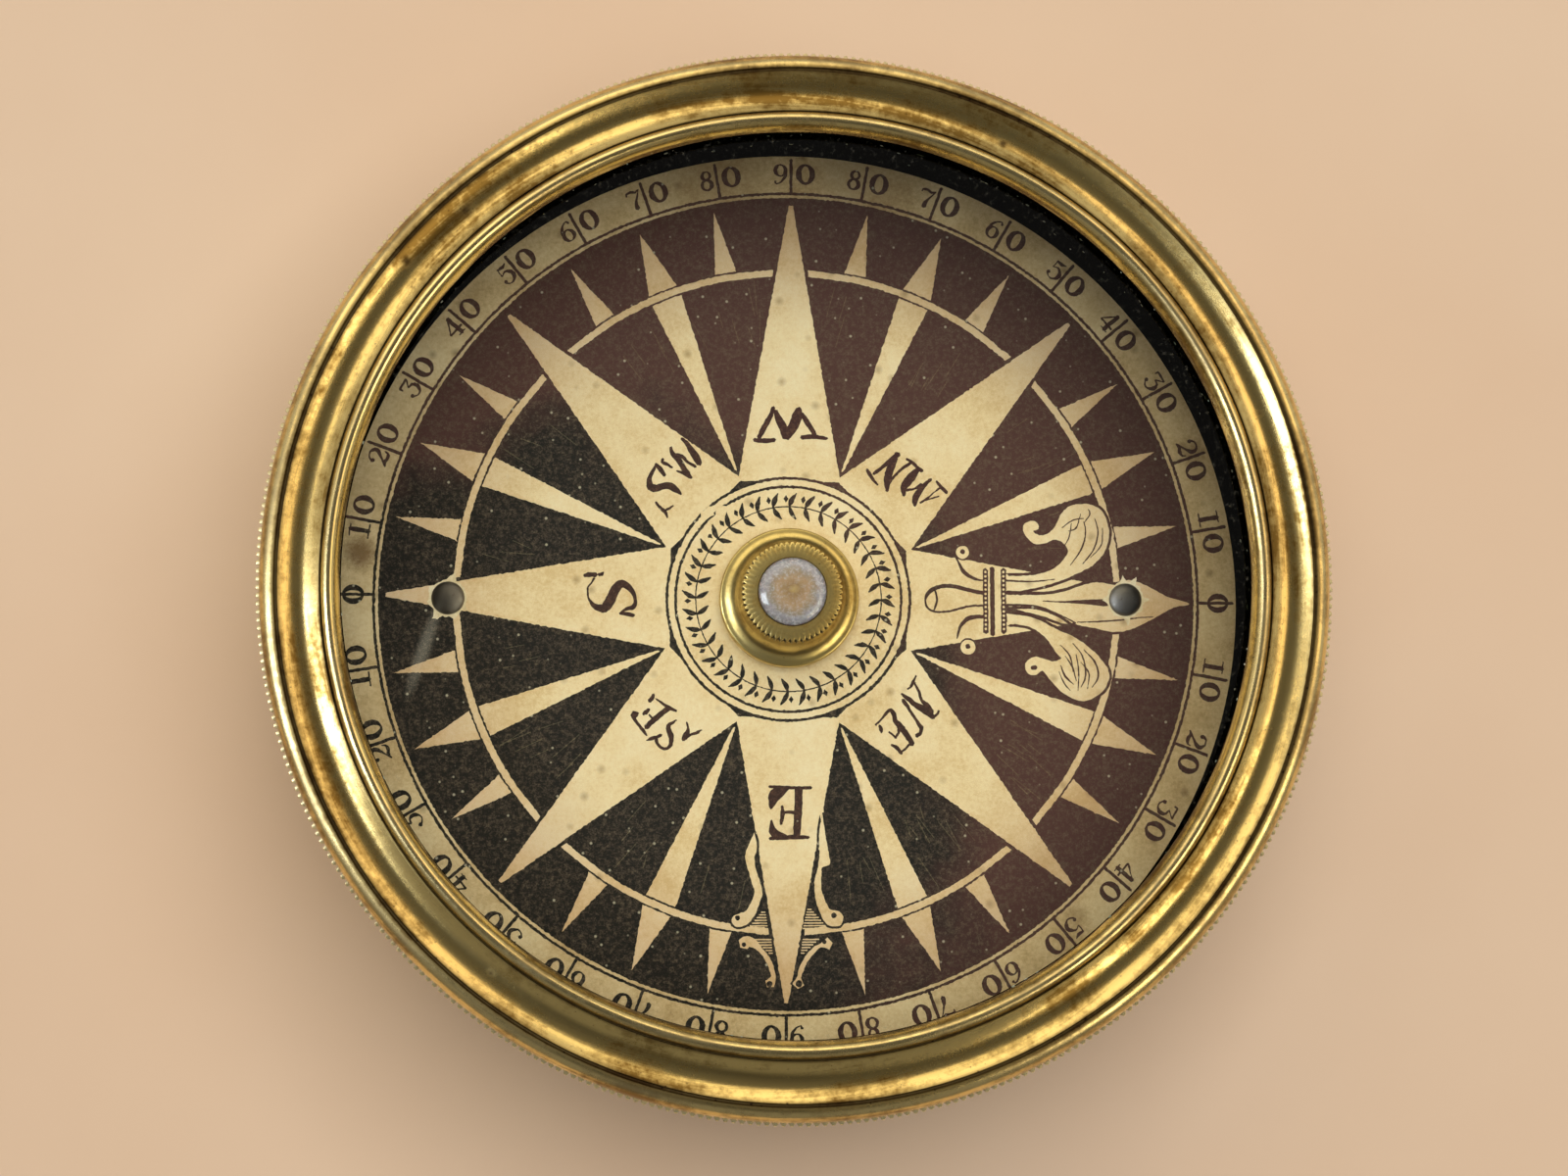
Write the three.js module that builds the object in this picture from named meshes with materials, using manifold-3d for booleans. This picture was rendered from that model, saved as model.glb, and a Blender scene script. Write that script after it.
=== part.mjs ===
// A dry-card pocket compass in a turned brass case, glazed under a screwed, milled bezel.
// Millimetres, +Z up. The origin is the middle of the underside, and north on the card points to +X.

import * as THREE from "three";
import { mergeVertices, toCreasedNormals } from "three/addons/utils/BufferGeometryUtils.js";
import Module from "manifold-3d";

const wasm = await Module();
wasm.setup();

// Case: a turned wall soldered round the locating step of a base plate.
const millingRadius = 32;          // over the tips of the bezel's milling
const flangeOverhang = 0.8;        // milled flange beyond the case wall
const wallThickness = 2.2;         // below the step that clears the bezel's spigot
const neckThickness = 1.05;        // wall left round the bezel's spigot
const baseThickness = 1.1;
const baseEdgeRoundShare = 0.8;    // of the base's thickness
const locatingStep = 0.7;          // base plate inside the wall
const stepClearance = 0.1;
const rimChamfer = 0.2;

// Card stack, from the air under the needle up to the printed paper.
const needleClearance = 3.05;
const needleThickness = 1.4;
const discThickness = 0.5;
const paperThickness = 0.25;
const cardGap = 0.4;               // between the card's edge and the case wall
const discInset = 0.2;             // the stiff disc is this much smaller than its paper
const shankHoleClearance = 0.3;    // loose holes in card and needle

// Bar needle, and the rivets that hold the card on it.
const needleEndInset = 3.6;        // needle's end inside the card's edge
const needleWidth = 5;
const needleEyeRadius = 5;
const rivetInset = 3.5;            // rivet inside the needle's end
const rivetHeadRadius = 1.05;
const rivetHeadHeight = 0.45;
const rivetShankRadius = 0.55;
const rivetClenchRadius = 0.9;
const rivetClenchHeight = 0.4;
const rivetWasherRadius = 1.5;
const rivetWasherThickness = 0.25;

// Cap: a brass boss with an agate cup, clamped through the card by a nut.
const capFlangeRadius = 4.4;
const capFlangeHeight = 1.1;
const capFlangeRound = 0.3;
const capNeckRadius = 2.85;
const capNeckHeight = 3.1;         // top of the cove, over the card
const capBossRadius = 3.15;
const capBossHeight = 4.8;         // over the card
const capBossRound = 0.35;
const capMillingDepth = 0.15;
const capMillingPitch = 0.35;
const capShankRadius = 2.2;
const capBoreRadius = 1.5;
const capWasherRadius = 3.6;
const capWasherThickness = 0.3;
const capNutRadius = 3.5;          // over its corners
const capNutThickness = 1;

// Agate cup in the cap.
const jewelRadius = 2.1;
const jewelSeatDepth = 1.6;        // below the top of the boss
const jewelDomeHeight = 0.5;
const jewelCupRadius = 1.2;
const jewelCupDepth = 0.9;

// Pivot: a steel point in a slotted brass plug, locked by a nut on the case floor.
const pinRadius = 0.6;
const pinTipRadius = 0.1;
const pinTaperLength = 3;
const pinTipClearance = 0.3;       // between the point and the agate
const pinHoleDepth = 1.6;
const plugHeadRadius = 3.2;
const plugHeadSink = 0.1;          // head below the underside
const plugHeadThickness = 0.7;
const plugShankRadius = 1.8;
const plugSlotWidth = 0.7;
const plugSlotDepth = 0.4;
const lockNutRadius = 3.3;         // over its corners
const lockNutThickness = 0.8;
const plugStandProud = 0.2;        // plug above its nut

// Glass and what holds it in the bezel.
const headroom = 9.85;             // card to glass
const glassThickness = 1.6;
const glassChamfer = 0.2;
const glassClearance = 0.2;
const gasketThickness = 0.25;
const gasketInset = 0.25;          // gasket's bore behind the lip's bore
const retainerThickness = 0.44;
const retainerGrooveDepth = 0.5;
const retainerShow = 0.5;          // retaining ring proud of its groove
const retainerMouth = 5;           // gap in the split ring

// Bezel: milled flange, convex shoulder, turned groove, wide hollow and beaded lip.
const spigotClearance = 0.5;       // spigot to bore, between the two threads' roots
const spigotWall = 1.05;
const spigotLength = 3;
const spigotRelief = 0.4;          // between the spigot's end and the step in the wall
const flangeDrop = 1.8;            // glass seat down to the flange's underside
const flangeChamfer = 0.3;
const millingDepth = 0.25;
const millingPitch = 0.488;
const millingBandWidth = 0.9;      // solid ring behind the milling
const lipThickness = 1.25;         // glass seat up to the turned crease
const lipWidth = 1.6;              // glass edge that the lip covers
const shoulderHeight = 1;
const grooveInset = 1.3;           // groove inside the milling's tips
const grooveWidth = 0.2;
const grooveDepth = 0.25;
const beadWidth = 1.1;
const beadHeight = 0.45;
const creaseWidth = 0.12;
const creaseDepth = 0.1;
const hollowDepth = 0.6;

// Right-hand screw thread between the bezel's spigot and the case's neck.
const threadPitch = 0.75;
const threadHeight = 0.35;
const threadBaseWidth = 0.5;
const threadEndInset = 0.4;        // first and last turn inside the thread's length
const threadRoot = 0.15;           // depth that a thread's ridge is rooted in its wall

// Fits and fineness.
const seatedFit = 0.05;            // between a seated shank and its hole
const cutOverrun = 1;              // how far a cutter passes its cut
const largeSegments = 60;
const smallSegments = 32;
const fineSegments = 16;
const hexSides = 6;
const arcSteps = 4;
const teethMultiple = 4;           // keeps a milled edge alike on all four sides
const creaseAngle = Math.PI / 6;

// Radii that follow from these.
const caseRadius = millingRadius - flangeOverhang;
const chamberRadius = caseRadius - wallThickness;
const boreRadius = caseRadius - neckThickness;
const spigotRadius = boreRadius - spigotClearance;
const glassPocketRadius = spigotRadius - spigotWall;
const glassRadius = glassPocketRadius - glassClearance;
const lipRadius = glassPocketRadius - lipWidth;
const millingRootRadius = millingRadius - millingDepth;
const grooveRadius = millingRadius - grooveInset;
const creaseRadius = lipRadius + beadWidth;
const cardRadius = chamberRadius - cardGap;
const needleHalfLength = cardRadius - needleEndInset;
const rivetDistance = needleHalfLength - rivetInset;
const rivetHoleRadius = rivetShankRadius + shankHoleClearance;
const shankHoleRadius = capShankRadius + shankHoleClearance;

// Heights that follow from these.
const floorZ = baseThickness + locatingStep;
const needleZ = floorZ + needleClearance;
const discZ = needleZ + needleThickness;
const paperZ = discZ + discThickness;
const cardZ = paperZ + paperThickness;
const glassZ = cardZ + headroom;
const gasketZ = glassZ + glassThickness;
const seatZ = gasketZ + gasketThickness;
const creaseZ = seatZ + lipThickness;
const rimZ = seatZ - flangeDrop;
const spigotZ = rimZ - spigotLength;
const stepZ = spigotZ - spigotRelief;
const capNutZ = needleZ - capWasherThickness - capNutThickness;
const jewelSeatZ = cardZ + capBossHeight - jewelSeatDepth;
const plugHeadZ = plugHeadSink + plugHeadThickness;
const plugTopZ = floorZ + lockNutThickness + plugStandProud;
const pinFootZ = plugTopZ - pinHoleDepth;
const pinTipZ = jewelSeatZ + jewelCupDepth - pinTipClearance;
const retainerZ = glassZ - retainerThickness;

// Outline helpers, on [radius, height] points.

function quarterArc(from, to, corner) {
  // A quarter of an ellipse from one point to another, bulging towards the corner point.
  const points = [];
  for (let step = 1; step < arcSteps; step += 1) {
    const angle = (step / arcSteps) * (Math.PI / 2);
    const towardTo = 1 - Math.cos(angle);
    const towardFrom = 1 - Math.sin(angle);
    points.push([
      corner[0] + (from[0] - corner[0]) * towardFrom + (to[0] - corner[0]) * towardTo,
      corner[1] + (from[1] - corner[1]) * towardFrom + (to[1] - corner[1]) * towardTo,
    ]);
  }
  return points;
}

function sagArc(from, to, sag) {
  // A shallow curve between two points at one height, raised in the middle by sag.
  const points = [];
  const steps = arcSteps + 1;
  for (let step = 1; step < steps; step += 1) {
    const share = step / steps;
    const lift = sag * Math.sin(share * Math.PI);
    points.push([from[0] + (to[0] - from[0]) * share, from[1] + (to[1] - from[1]) * share + lift]);
  }
  return points;
}

// Solid helpers.

function weld(geometry) {
  // One closed skin: shared corners joined, and no triangle that has shrunk to a line.
  geometry.deleteAttribute("normal");
  geometry.deleteAttribute("uv");
  const merged = mergeVertices(geometry);
  const index = merged.index.array;
  const kept = [];
  for (let at = 0; at < index.length; at += 3) {
    const [a, b, c] = index.slice(at, at + 3);
    if (a !== b && b !== c && c !== a) {
      kept.push(a, b, c);
    }
  }
  merged.setIndex(kept);
  return merged;
}

function turned(profile, segments) {
  // A piece turned on the lathe about Z. The profile runs anticlockwise, and one that
  // doesn't reach the axis is closed on itself.
  const onAxis = profile[0][0] === 0;
  const outline = onAxis ? profile : [...profile, profile[0]];
  const points = outline.map(([radius, height]) => new THREE.Vector2(radius, height));
  return weld(new THREE.LatheGeometry(points, segments).rotateX(Math.PI / 2));
}

function threadRidge(rootRadius, crestRadius, firstZ, lastZ) {
  // A V-shaped ridge that climbs a wall as a right-hand helix, rooted a little in the wall.
  const outward = Math.sign(crestRadius - rootRadius);
  const baseRadius = rootRadius - outward * threadRoot;
  const halfBase = (threadBaseWidth / 2) * (1 + threadRoot / threadHeight);
  const section = [[baseRadius, -halfBase * outward], [crestRadius, 0], [baseRadius, halfBase * outward]];
  const steps = Math.max(1, Math.floor(((lastZ - firstZ) / threadPitch) * largeSegments));
  const positions = [];
  const index = [];
  for (let step = 0; step <= steps; step += 1) {
    const turns = step / largeSegments;
    const angle = turns * Math.PI * 2;
    const z = firstZ + turns * threadPitch;
    for (const [radius, height] of section) {
      positions.push(radius * Math.cos(angle), radius * Math.sin(angle), z + height);
    }
  }
  for (let step = 0; step < steps; step += 1) {
    for (let side = 0; side < section.length; side += 1) {
      const a = step * section.length + side;
      const b = step * section.length + ((side + 1) % section.length);
      index.push(a, a + section.length, b + section.length, a, b + section.length, b);
    }
  }
  const end = steps * section.length;
  index.push(0, 1, 2, end + 2, end + 1, end);
  const geometry = new THREE.BufferGeometry();
  geometry.setAttribute("position", new THREE.Float32BufferAttribute(positions, 3));
  geometry.setIndex(index);
  return geometry;
}

function plate(shape, bottom, thickness) {
  const geometry = new THREE.ExtrudeGeometry(shape, {
    depth: thickness,
    bevelEnabled: false,
    curveSegments: fineSegments,
  });
  return weld(geometry.translate(0, 0, bottom));
}

function arcPoints(x, radius, start, end, segments) {
  const points = [];
  for (let step = 0; step <= segments; step += 1) {
    const angle = start + ((end - start) * step) / segments;
    points.push(new THREE.Vector2(x + radius * Math.cos(angle), radius * Math.sin(angle)));
  }
  return points;
}

function circlePoints(x, radius, segments) {
  return arcPoints(x, radius, 0, Math.PI * 2, segments).slice(0, segments);
}

function disc(radius, segments, ...holes) {
  const shape = new THREE.Shape(circlePoints(0, radius, segments));
  shape.holes.push(...holes);
  return shape;
}

function roundHole(x, radius, segments) {
  return new THREE.Path(circlePoints(x, radius, segments).reverse());
}

function milledRing(tipRadius, depth, pitch, innerRadius, innerSegments) {
  // The outline of a ring with V-shaped teeth round its edge.
  const wanted = (2 * Math.PI * tipRadius) / (pitch * teethMultiple);
  const teeth = Math.max(1, Math.round(wanted)) * teethMultiple;
  const points = [];
  for (let half = 0; half < teeth * 2; half += 1) {
    const radius = half % 2 === 0 ? tipRadius : tipRadius - depth;
    const angle = (half / (teeth * 2)) * Math.PI * 2;
    points.push(new THREE.Vector2(radius * Math.cos(angle), radius * Math.sin(angle)));
  }
  const shape = new THREE.Shape(points);
  shape.holes.push(roundHole(0, innerRadius, innerSegments));
  return shape;
}

function toSolid(geometry) {
  return new wasm.Manifold(new wasm.Mesh({
    numProp: 3,
    vertProperties: new Float32Array(geometry.attributes.position.array),
    triVerts: new Uint32Array(geometry.index.array),
  }));
}

function fromSolid(solid) {
  const mesh = solid.getMesh();
  const geometry = new THREE.BufferGeometry();
  geometry.setAttribute("position", new THREE.BufferAttribute(mesh.vertProperties, mesh.numProp));
  geometry.setIndex(new THREE.BufferAttribute(mesh.triVerts, 1));
  return geometry;
}

function joined(first, second) {
  return fromSolid(toSolid(first).add(toSolid(second)));
}

function cut(body, cutter) {
  return fromSolid(toSolid(body).subtract(toSolid(cutter)));
}

// Finishes.

function finish(color, roughness, metalness, extra = {}) {
  return new THREE.MeshStandardMaterial({ color, roughness, metalness, ...extra });
}

const compass = new THREE.Group();

function addPiece(name, geometry, material) {
  const mesh = new THREE.Mesh(toCreasedNormals(geometry, creaseAngle), material);
  mesh.name = name;
  compass.add(mesh);
  return mesh;
}

// Case.

function caseBase() {
  const edge = baseThickness * baseEdgeRoundShare;
  const counterboreRadius = plugHeadRadius + seatedFit;
  const holeRadius = plugShankRadius + seatedFit;
  const stepRadius = chamberRadius - stepClearance;
  return turned([
    [counterboreRadius, 0],
    [caseRadius - edge, 0],
    ...quarterArc([caseRadius - edge, 0], [caseRadius, edge], [caseRadius, 0]),
    [caseRadius, edge],
    [caseRadius, baseThickness],
    [stepRadius, baseThickness],
    [stepRadius, floorZ],
    [holeRadius, floorZ],
    [holeRadius, plugHeadZ],
    [counterboreRadius, plugHeadZ],
  ], largeSegments);
}

function caseWall() {
  const body = turned([
    [chamberRadius, baseThickness],
    [caseRadius, baseThickness],
    [caseRadius, rimZ - rimChamfer],
    [caseRadius - rimChamfer, rimZ],
    [boreRadius + rimChamfer, rimZ],
    [boreRadius, rimZ - rimChamfer],
    [boreRadius, stepZ],
    [chamberRadius, stepZ],
  ], largeSegments);
  const firstZ = spigotZ + threadEndInset + threadPitch / 2;
  const thread = threadRidge(boreRadius, boreRadius - threadHeight, firstZ, rimZ - threadEndInset);
  return joined(body, thread);
}

// Pivot.

function pivotPlug() {
  const holeRadius = pinRadius + seatedFit;
  const body = turned([
    [0, plugHeadSink],
    [plugHeadRadius, plugHeadSink],
    [plugHeadRadius, plugHeadZ],
    [plugShankRadius, plugHeadZ],
    [plugShankRadius, plugTopZ],
    [holeRadius, plugTopZ],
    [holeRadius, pinFootZ],
    [0, pinFootZ],
  ], smallSegments);
  const slotLength = 2 * (plugHeadRadius + cutOverrun);
  const slotHeight = plugSlotDepth + cutOverrun;
  const slot = new THREE.BoxGeometry(slotLength, plugSlotWidth, slotHeight);
  slot.translate(0, 0, plugHeadSink + plugSlotDepth - slotHeight / 2);
  return cut(body, weld(slot));
}

function pivotLockNut() {
  const hole = roundHole(0, plugShankRadius + seatedFit, smallSegments);
  return plate(disc(lockNutRadius, hexSides, hole), floorZ, lockNutThickness);
}

function pivotPin() {
  return turned([
    [0, pinFootZ],
    [pinRadius, pinFootZ],
    [pinRadius, pinTipZ - pinTaperLength],
    [pinTipRadius, pinTipZ - pinTipRadius],
    [0, pinTipZ],
  ], fineSegments);
}

// Card and needle.

function cardLayer(radius, bottom, thickness) {
  const shape = disc(
    radius,
    largeSegments,
    roundHole(0, shankHoleRadius, smallSegments),
    roundHole(rivetDistance, rivetHoleRadius, fineSegments),
    roundHole(-rivetDistance, rivetHoleRadius, fineSegments),
  );
  return plate(shape, bottom, thickness);
}

function needle() {
  const halfWidth = needleWidth / 2;
  const straight = needleHalfLength - halfWidth;
  const bar = new THREE.Shape();
  bar.absarc(straight, 0, halfWidth, -Math.PI / 2, Math.PI / 2, false);
  bar.absarc(-straight, 0, halfWidth, Math.PI / 2, Math.PI * 1.5, false);
  bar.holes.push(roundHole(rivetDistance, rivetHoleRadius, fineSegments));
  bar.holes.push(roundHole(-rivetDistance, rivetHoleRadius, fineSegments));
  const blank = joined(
    plate(bar, needleZ, needleThickness),
    plate(disc(needleEyeRadius, smallSegments), needleZ, needleThickness),
  );
  const drillLength = needleThickness + 2 * cutOverrun;
  const drill = plate(disc(shankHoleRadius, smallSegments), needleZ - cutOverrun, drillLength);
  return cut(blank, drill);
}

function rivet() {
  const washerZ = needleZ - rivetWasherThickness;
  const clenchZ = washerZ - rivetClenchHeight;
  const crown = [0, cardZ + rivetHeadHeight];
  return turned([
    [0, clenchZ],
    [rivetClenchRadius, clenchZ],
    [rivetClenchRadius, washerZ],
    [rivetShankRadius, washerZ],
    [rivetShankRadius, cardZ],
    [rivetHeadRadius, cardZ],
    ...quarterArc([rivetHeadRadius, cardZ], crown, [rivetHeadRadius, cardZ + rivetHeadHeight]),
    crown,
  ], fineSegments);
}

function rivetWasher() {
  const hole = roundHole(0, rivetShankRadius + seatedFit, fineSegments);
  const washerZ = needleZ - rivetWasherThickness;
  return plate(disc(rivetWasherRadius, fineSegments, hole), washerZ, rivetWasherThickness);
}

// Cap.

function capBody() {
  const flangeTop = cardZ + capFlangeHeight;
  const neckTop = cardZ + capNeckHeight;
  const bossTop = cardZ + capBossHeight;
  const pocketRadius = jewelRadius + seatedFit;
  const bossRoot = capBossRadius - capMillingDepth;
  const coveStart = [capFlangeRadius - capFlangeRound, flangeTop];
  const coveEnd = [capNeckRadius, neckTop];
  const body = turned([
    [capBoreRadius, capNutZ],
    [capShankRadius, capNutZ],
    [capShankRadius, cardZ],
    [capFlangeRadius, cardZ],
    [capFlangeRadius, flangeTop - capFlangeRound],
    coveStart,
    ...quarterArc(coveStart, coveEnd, [capNeckRadius, flangeTop]),
    coveEnd,
    [bossRoot, neckTop + (bossRoot - capNeckRadius)],
    [bossRoot, bossTop - capBossRound],
    [bossRoot - capBossRound, bossTop],
    [pocketRadius, bossTop],
    [pocketRadius, jewelSeatZ],
    [capBoreRadius, jewelSeatZ],
  ], smallSegments);
  const millingZ = neckTop + (capBossRadius - capNeckRadius);
  const millingHeight = bossTop - capBossRound - millingZ;
  const behind = (pocketRadius + bossRoot) / 2;
  const ring = milledRing(capBossRadius, capMillingDepth, capMillingPitch, behind, smallSegments);
  return joined(body, plate(ring, millingZ, millingHeight));
}

function capWasher() {
  const hole = roundHole(0, capShankRadius + seatedFit, smallSegments);
  const washerZ = needleZ - capWasherThickness;
  return plate(disc(capWasherRadius, smallSegments, hole), washerZ, capWasherThickness);
}

function capNut() {
  const hole = roundHole(0, capShankRadius + seatedFit, smallSegments);
  return plate(disc(capNutRadius, hexSides, hole), capNutZ, capNutThickness);
}

function capJewel() {
  const shoulderZ = cardZ + capBossHeight;
  const crown = [0, shoulderZ + jewelDomeHeight];
  return turned([
    [0, jewelSeatZ + jewelCupDepth],
    [jewelCupRadius, jewelSeatZ],
    [jewelRadius, jewelSeatZ],
    [jewelRadius, shoulderZ],
    ...quarterArc([jewelRadius, shoulderZ], crown, [jewelRadius, shoulderZ + jewelDomeHeight]),
    crown,
  ], smallSegments);
}

// Glass and bezel.

function glassPane() {
  return turned([
    [0, glassZ],
    [glassRadius - glassChamfer, glassZ],
    [glassRadius, glassZ + glassChamfer],
    [glassRadius, gasketZ - glassChamfer],
    [glassRadius - glassChamfer, gasketZ],
    [0, gasketZ],
  ], largeSegments);
}

function glassGasket() {
  const hole = roundHole(0, lipRadius + gasketInset, largeSegments);
  return plate(disc(glassRadius, largeSegments, hole), gasketZ, gasketThickness);
}

function glassRetainingRing() {
  // A split ring that springs out into the groove below the glass.
  const outer = glassPocketRadius + retainerGrooveDepth - seatedFit;
  const inner = glassPocketRadius - retainerShow;
  const halfMouth = retainerMouth / 2 / outer;
  const start = Math.PI / 2 + halfMouth;
  const end = Math.PI / 2 + Math.PI * 2 - halfMouth;
  const shape = new THREE.Shape([
    ...arcPoints(0, outer, start, end, largeSegments),
    ...arcPoints(0, inner, end, start, largeSegments),
  ]);
  return plate(shape, retainerZ, retainerThickness);
}

function bezel() {
  const shoulderZ = creaseZ - shoulderHeight;
  const grooveOuter = [grooveRadius + grooveWidth / 2, creaseZ];
  const grooveInner = [grooveRadius - grooveWidth / 2, creaseZ];
  const creaseOuter = [creaseRadius + creaseWidth / 2, creaseZ];
  const creaseInner = [creaseRadius - creaseWidth / 2, creaseZ];
  const shoulderFoot = [millingRootRadius, shoulderZ];
  const lipEdge = [lipRadius, creaseZ];
  const retainerGroove = glassPocketRadius + retainerGrooveDepth;
  const grooveFloorZ = retainerZ - seatedFit;
  const body = turned([
    [glassPocketRadius, spigotZ],
    [spigotRadius, spigotZ],
    [spigotRadius, rimZ],
    [millingRootRadius - flangeChamfer, rimZ],
    [millingRootRadius, rimZ + flangeChamfer],
    shoulderFoot,
    ...quarterArc(shoulderFoot, grooveOuter, [millingRootRadius, creaseZ]),
    grooveOuter,
    [grooveRadius, creaseZ - grooveDepth],
    grooveInner,
    ...sagArc(grooveInner, creaseOuter, -hollowDepth),
    creaseOuter,
    [creaseRadius, creaseZ - creaseDepth],
    creaseInner,
    ...sagArc(creaseInner, lipEdge, beadHeight),
    lipEdge,
    [lipRadius, seatZ],
    [glassPocketRadius, seatZ],
    [glassPocketRadius, glassZ],
    [retainerGroove, glassZ],
    [retainerGroove, grooveFloorZ],
    [glassPocketRadius, grooveFloorZ],
  ], largeSegments);
  const bandRadius = millingRadius - millingBandWidth;
  const ring = milledRing(millingRadius, millingDepth, millingPitch, bandRadius, largeSegments);
  const bandZ = rimZ + flangeChamfer;
  const milled = joined(body, plate(ring, bandZ, shoulderZ - bandZ));
  const crest = spigotRadius + threadHeight;
  const thread = threadRidge(spigotRadius, crest, spigotZ + threadEndInset, rimZ - threadEndInset);
  return joined(milled, thread);
}

const brass = finish(0xb48d3c, 0.35, 1);
const darkBrass = finish(0x7a6030, 0.5, 1);
const steel = finish(0x8a8c8f, 0.35, 1);
const bluedSteel = finish(0x2c3440, 0.4, 1);
const paper = finish(0xd9c48c, 0.9, 0);
const card = finish(0xa88a5c, 0.9, 0);
const agate = finish(0xc9c2b4, 0.25, 0);
const rubberBlack = finish(0x1b1a18, 0.8, 0);
const clearGlass = finish(0xdfe8e2, 0.05, 0, { transparent: true, opacity: 0.3 });

addPiece("case_base", caseBase(), brass.clone());
addPiece("case_wall", caseWall(), brass.clone());
addPiece("pivot_plug", pivotPlug(), darkBrass.clone());
addPiece("pivot_lock_nut", pivotLockNut(), darkBrass.clone());
addPiece("pivot_pin", pivotPin(), steel.clone());
addPiece("card_paper", cardLayer(cardRadius, paperZ, paperThickness), paper.clone());
addPiece("card_disc", cardLayer(cardRadius - discInset, discZ, discThickness), card.clone());
addPiece("needle", needle(), bluedSteel.clone());
for (const [side, x] of [["north", rivetDistance], ["south", -rivetDistance]]) {
  addPiece(`needle_rivet_${side}`, rivet(), steel.clone()).position.x = x;
  addPiece(`rivet_washer_${side}`, rivetWasher(), darkBrass.clone()).position.x = x;
}
addPiece("cap_body", capBody(), brass.clone());
addPiece("cap_washer", capWasher(), darkBrass.clone());
addPiece("cap_nut", capNut(), darkBrass.clone());
addPiece("cap_jewel", capJewel(), agate.clone());
addPiece("glass_pane", glassPane(), clearGlass.clone());
addPiece("glass_gasket", glassGasket(), rubberBlack.clone());
addPiece("glass_retaining_ring", glassRetainingRing(), darkBrass.clone());
addPiece("bezel", bezel(), brass.clone());

export default compass;
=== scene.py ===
"""A dry-card pocket compass in a turned brass case, dressed over its frame of solids.

North on the card points to +X, and +Z is up. Lengths are in millimetres until a mesh is
made, where MM turns them to metres.
"""

import math
import random

import bpy
import numpy as np
from mathutils import Matrix, Vector
from mathutils.geometry import delaunay_2d_cdt


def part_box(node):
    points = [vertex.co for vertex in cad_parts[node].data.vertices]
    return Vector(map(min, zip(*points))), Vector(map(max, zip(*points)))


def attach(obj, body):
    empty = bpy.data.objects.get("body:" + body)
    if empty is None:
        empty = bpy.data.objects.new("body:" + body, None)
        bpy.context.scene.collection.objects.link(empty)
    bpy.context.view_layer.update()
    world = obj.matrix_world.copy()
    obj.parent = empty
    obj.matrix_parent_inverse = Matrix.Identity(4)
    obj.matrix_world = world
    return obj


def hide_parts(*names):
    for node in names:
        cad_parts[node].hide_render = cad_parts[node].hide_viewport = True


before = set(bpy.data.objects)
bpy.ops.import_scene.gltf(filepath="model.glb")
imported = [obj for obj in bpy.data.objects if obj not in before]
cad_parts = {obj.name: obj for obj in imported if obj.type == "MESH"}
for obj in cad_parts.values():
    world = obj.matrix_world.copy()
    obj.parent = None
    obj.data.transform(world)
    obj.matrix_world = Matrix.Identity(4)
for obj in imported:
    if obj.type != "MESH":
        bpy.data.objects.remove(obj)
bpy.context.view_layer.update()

MM = 0.001
FULL_TURN = 2 * math.pi
chance = random.Random(66)


def lowest(node):
    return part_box(node)[0].z / MM


def highest(node):
    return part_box(node)[1].z / MM


def reach(node):
    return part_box(node)[1].x / MM


# Sizes read off the frame.
MILLING_RADIUS = reach("bezel")
CASE_RADIUS = reach("case_wall")
CARD_RADIUS = reach("card_paper")
CARD_TOP = highest("card_paper")
PAPER_THICKNESS = CARD_TOP - lowest("card_paper")
SPIGOT_BOTTOM = lowest("bezel")
RIM = highest("case_wall")
GLASS_BOTTOM = lowest("glass_pane")
LIP_SEAT = highest("glass_gasket")
RETAINER_BOTTOM = lowest("glass_retaining_ring")
BEAD_TOP = highest("bezel")
WALL_BOTTOM = lowest("case_wall")
FLOOR_TOP = highest("case_base")
CAP_RADIUS = reach("cap_body")
CAP_FOOT = lowest("cap_body")
BOSS_TOP = highest("cap_body")
JEWEL_BOTTOM = lowest("cap_jewel")
JEWEL_TOP = highest("cap_jewel")
JEWEL_RADIUS = reach("cap_jewel")

# Bezel and case, as turned.
LIP_BORE = 27.0
GLASS_POCKET = 28.6
SPIGOT_RADIUS = 29.65
RETAINER_GROOVE = 29.1
CREASE_RADIUS = 28.1
GROOVE_RADIUS = 30.7
SHOULDER_BOTTOM = 18.95
CREASE_HEIGHT = 19.95
MILLING_DEPTH = 0.25
MILLING_TEETH = 412
HOLLOW_DEPTH = 0.45
CHAMBER_RADIUS = 29.0
BORE_RADIUS = 30.15
STEP_HEIGHT = 13.5
THREAD_PITCH = 0.75
THREAD_HEIGHT = 0.35
THREAD_INSET = 0.4
THREAD_HALF_BASE = 0.25
THREAD_STEPS = 360

# Cap, as turned.
CAP_TEETH = 56
CAP_FLANGE_HEIGHT = 1.1
CAP_NECK_RADIUS = 2.95
CAP_NECK_HEIGHT = 3.1
CAP_BOSS_RADIUS = 3.15
CAP_TOOTH_DEPTH = 0.22
CAP_SHANK_RADIUS = 2.2
CAP_BORE_RADIUS = 1.5
JEWEL_POCKET = 2.115
JEWEL_CUP_RADIUS = 1.2
JEWEL_CUP_DEPTH = 0.9


# Nodes and colours.

def linear(hex_colour):
    """An sRGB hex colour as linear red, green, blue and alpha."""
    shares = [int(hex_colour[at:at + 2], 16) / 255 for at in (1, 3, 5)]
    return (*[s / 12.92 if s <= 0.04045 else ((s + 0.055) / 1.055) ** 2.4 for s in shares], 1)


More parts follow.
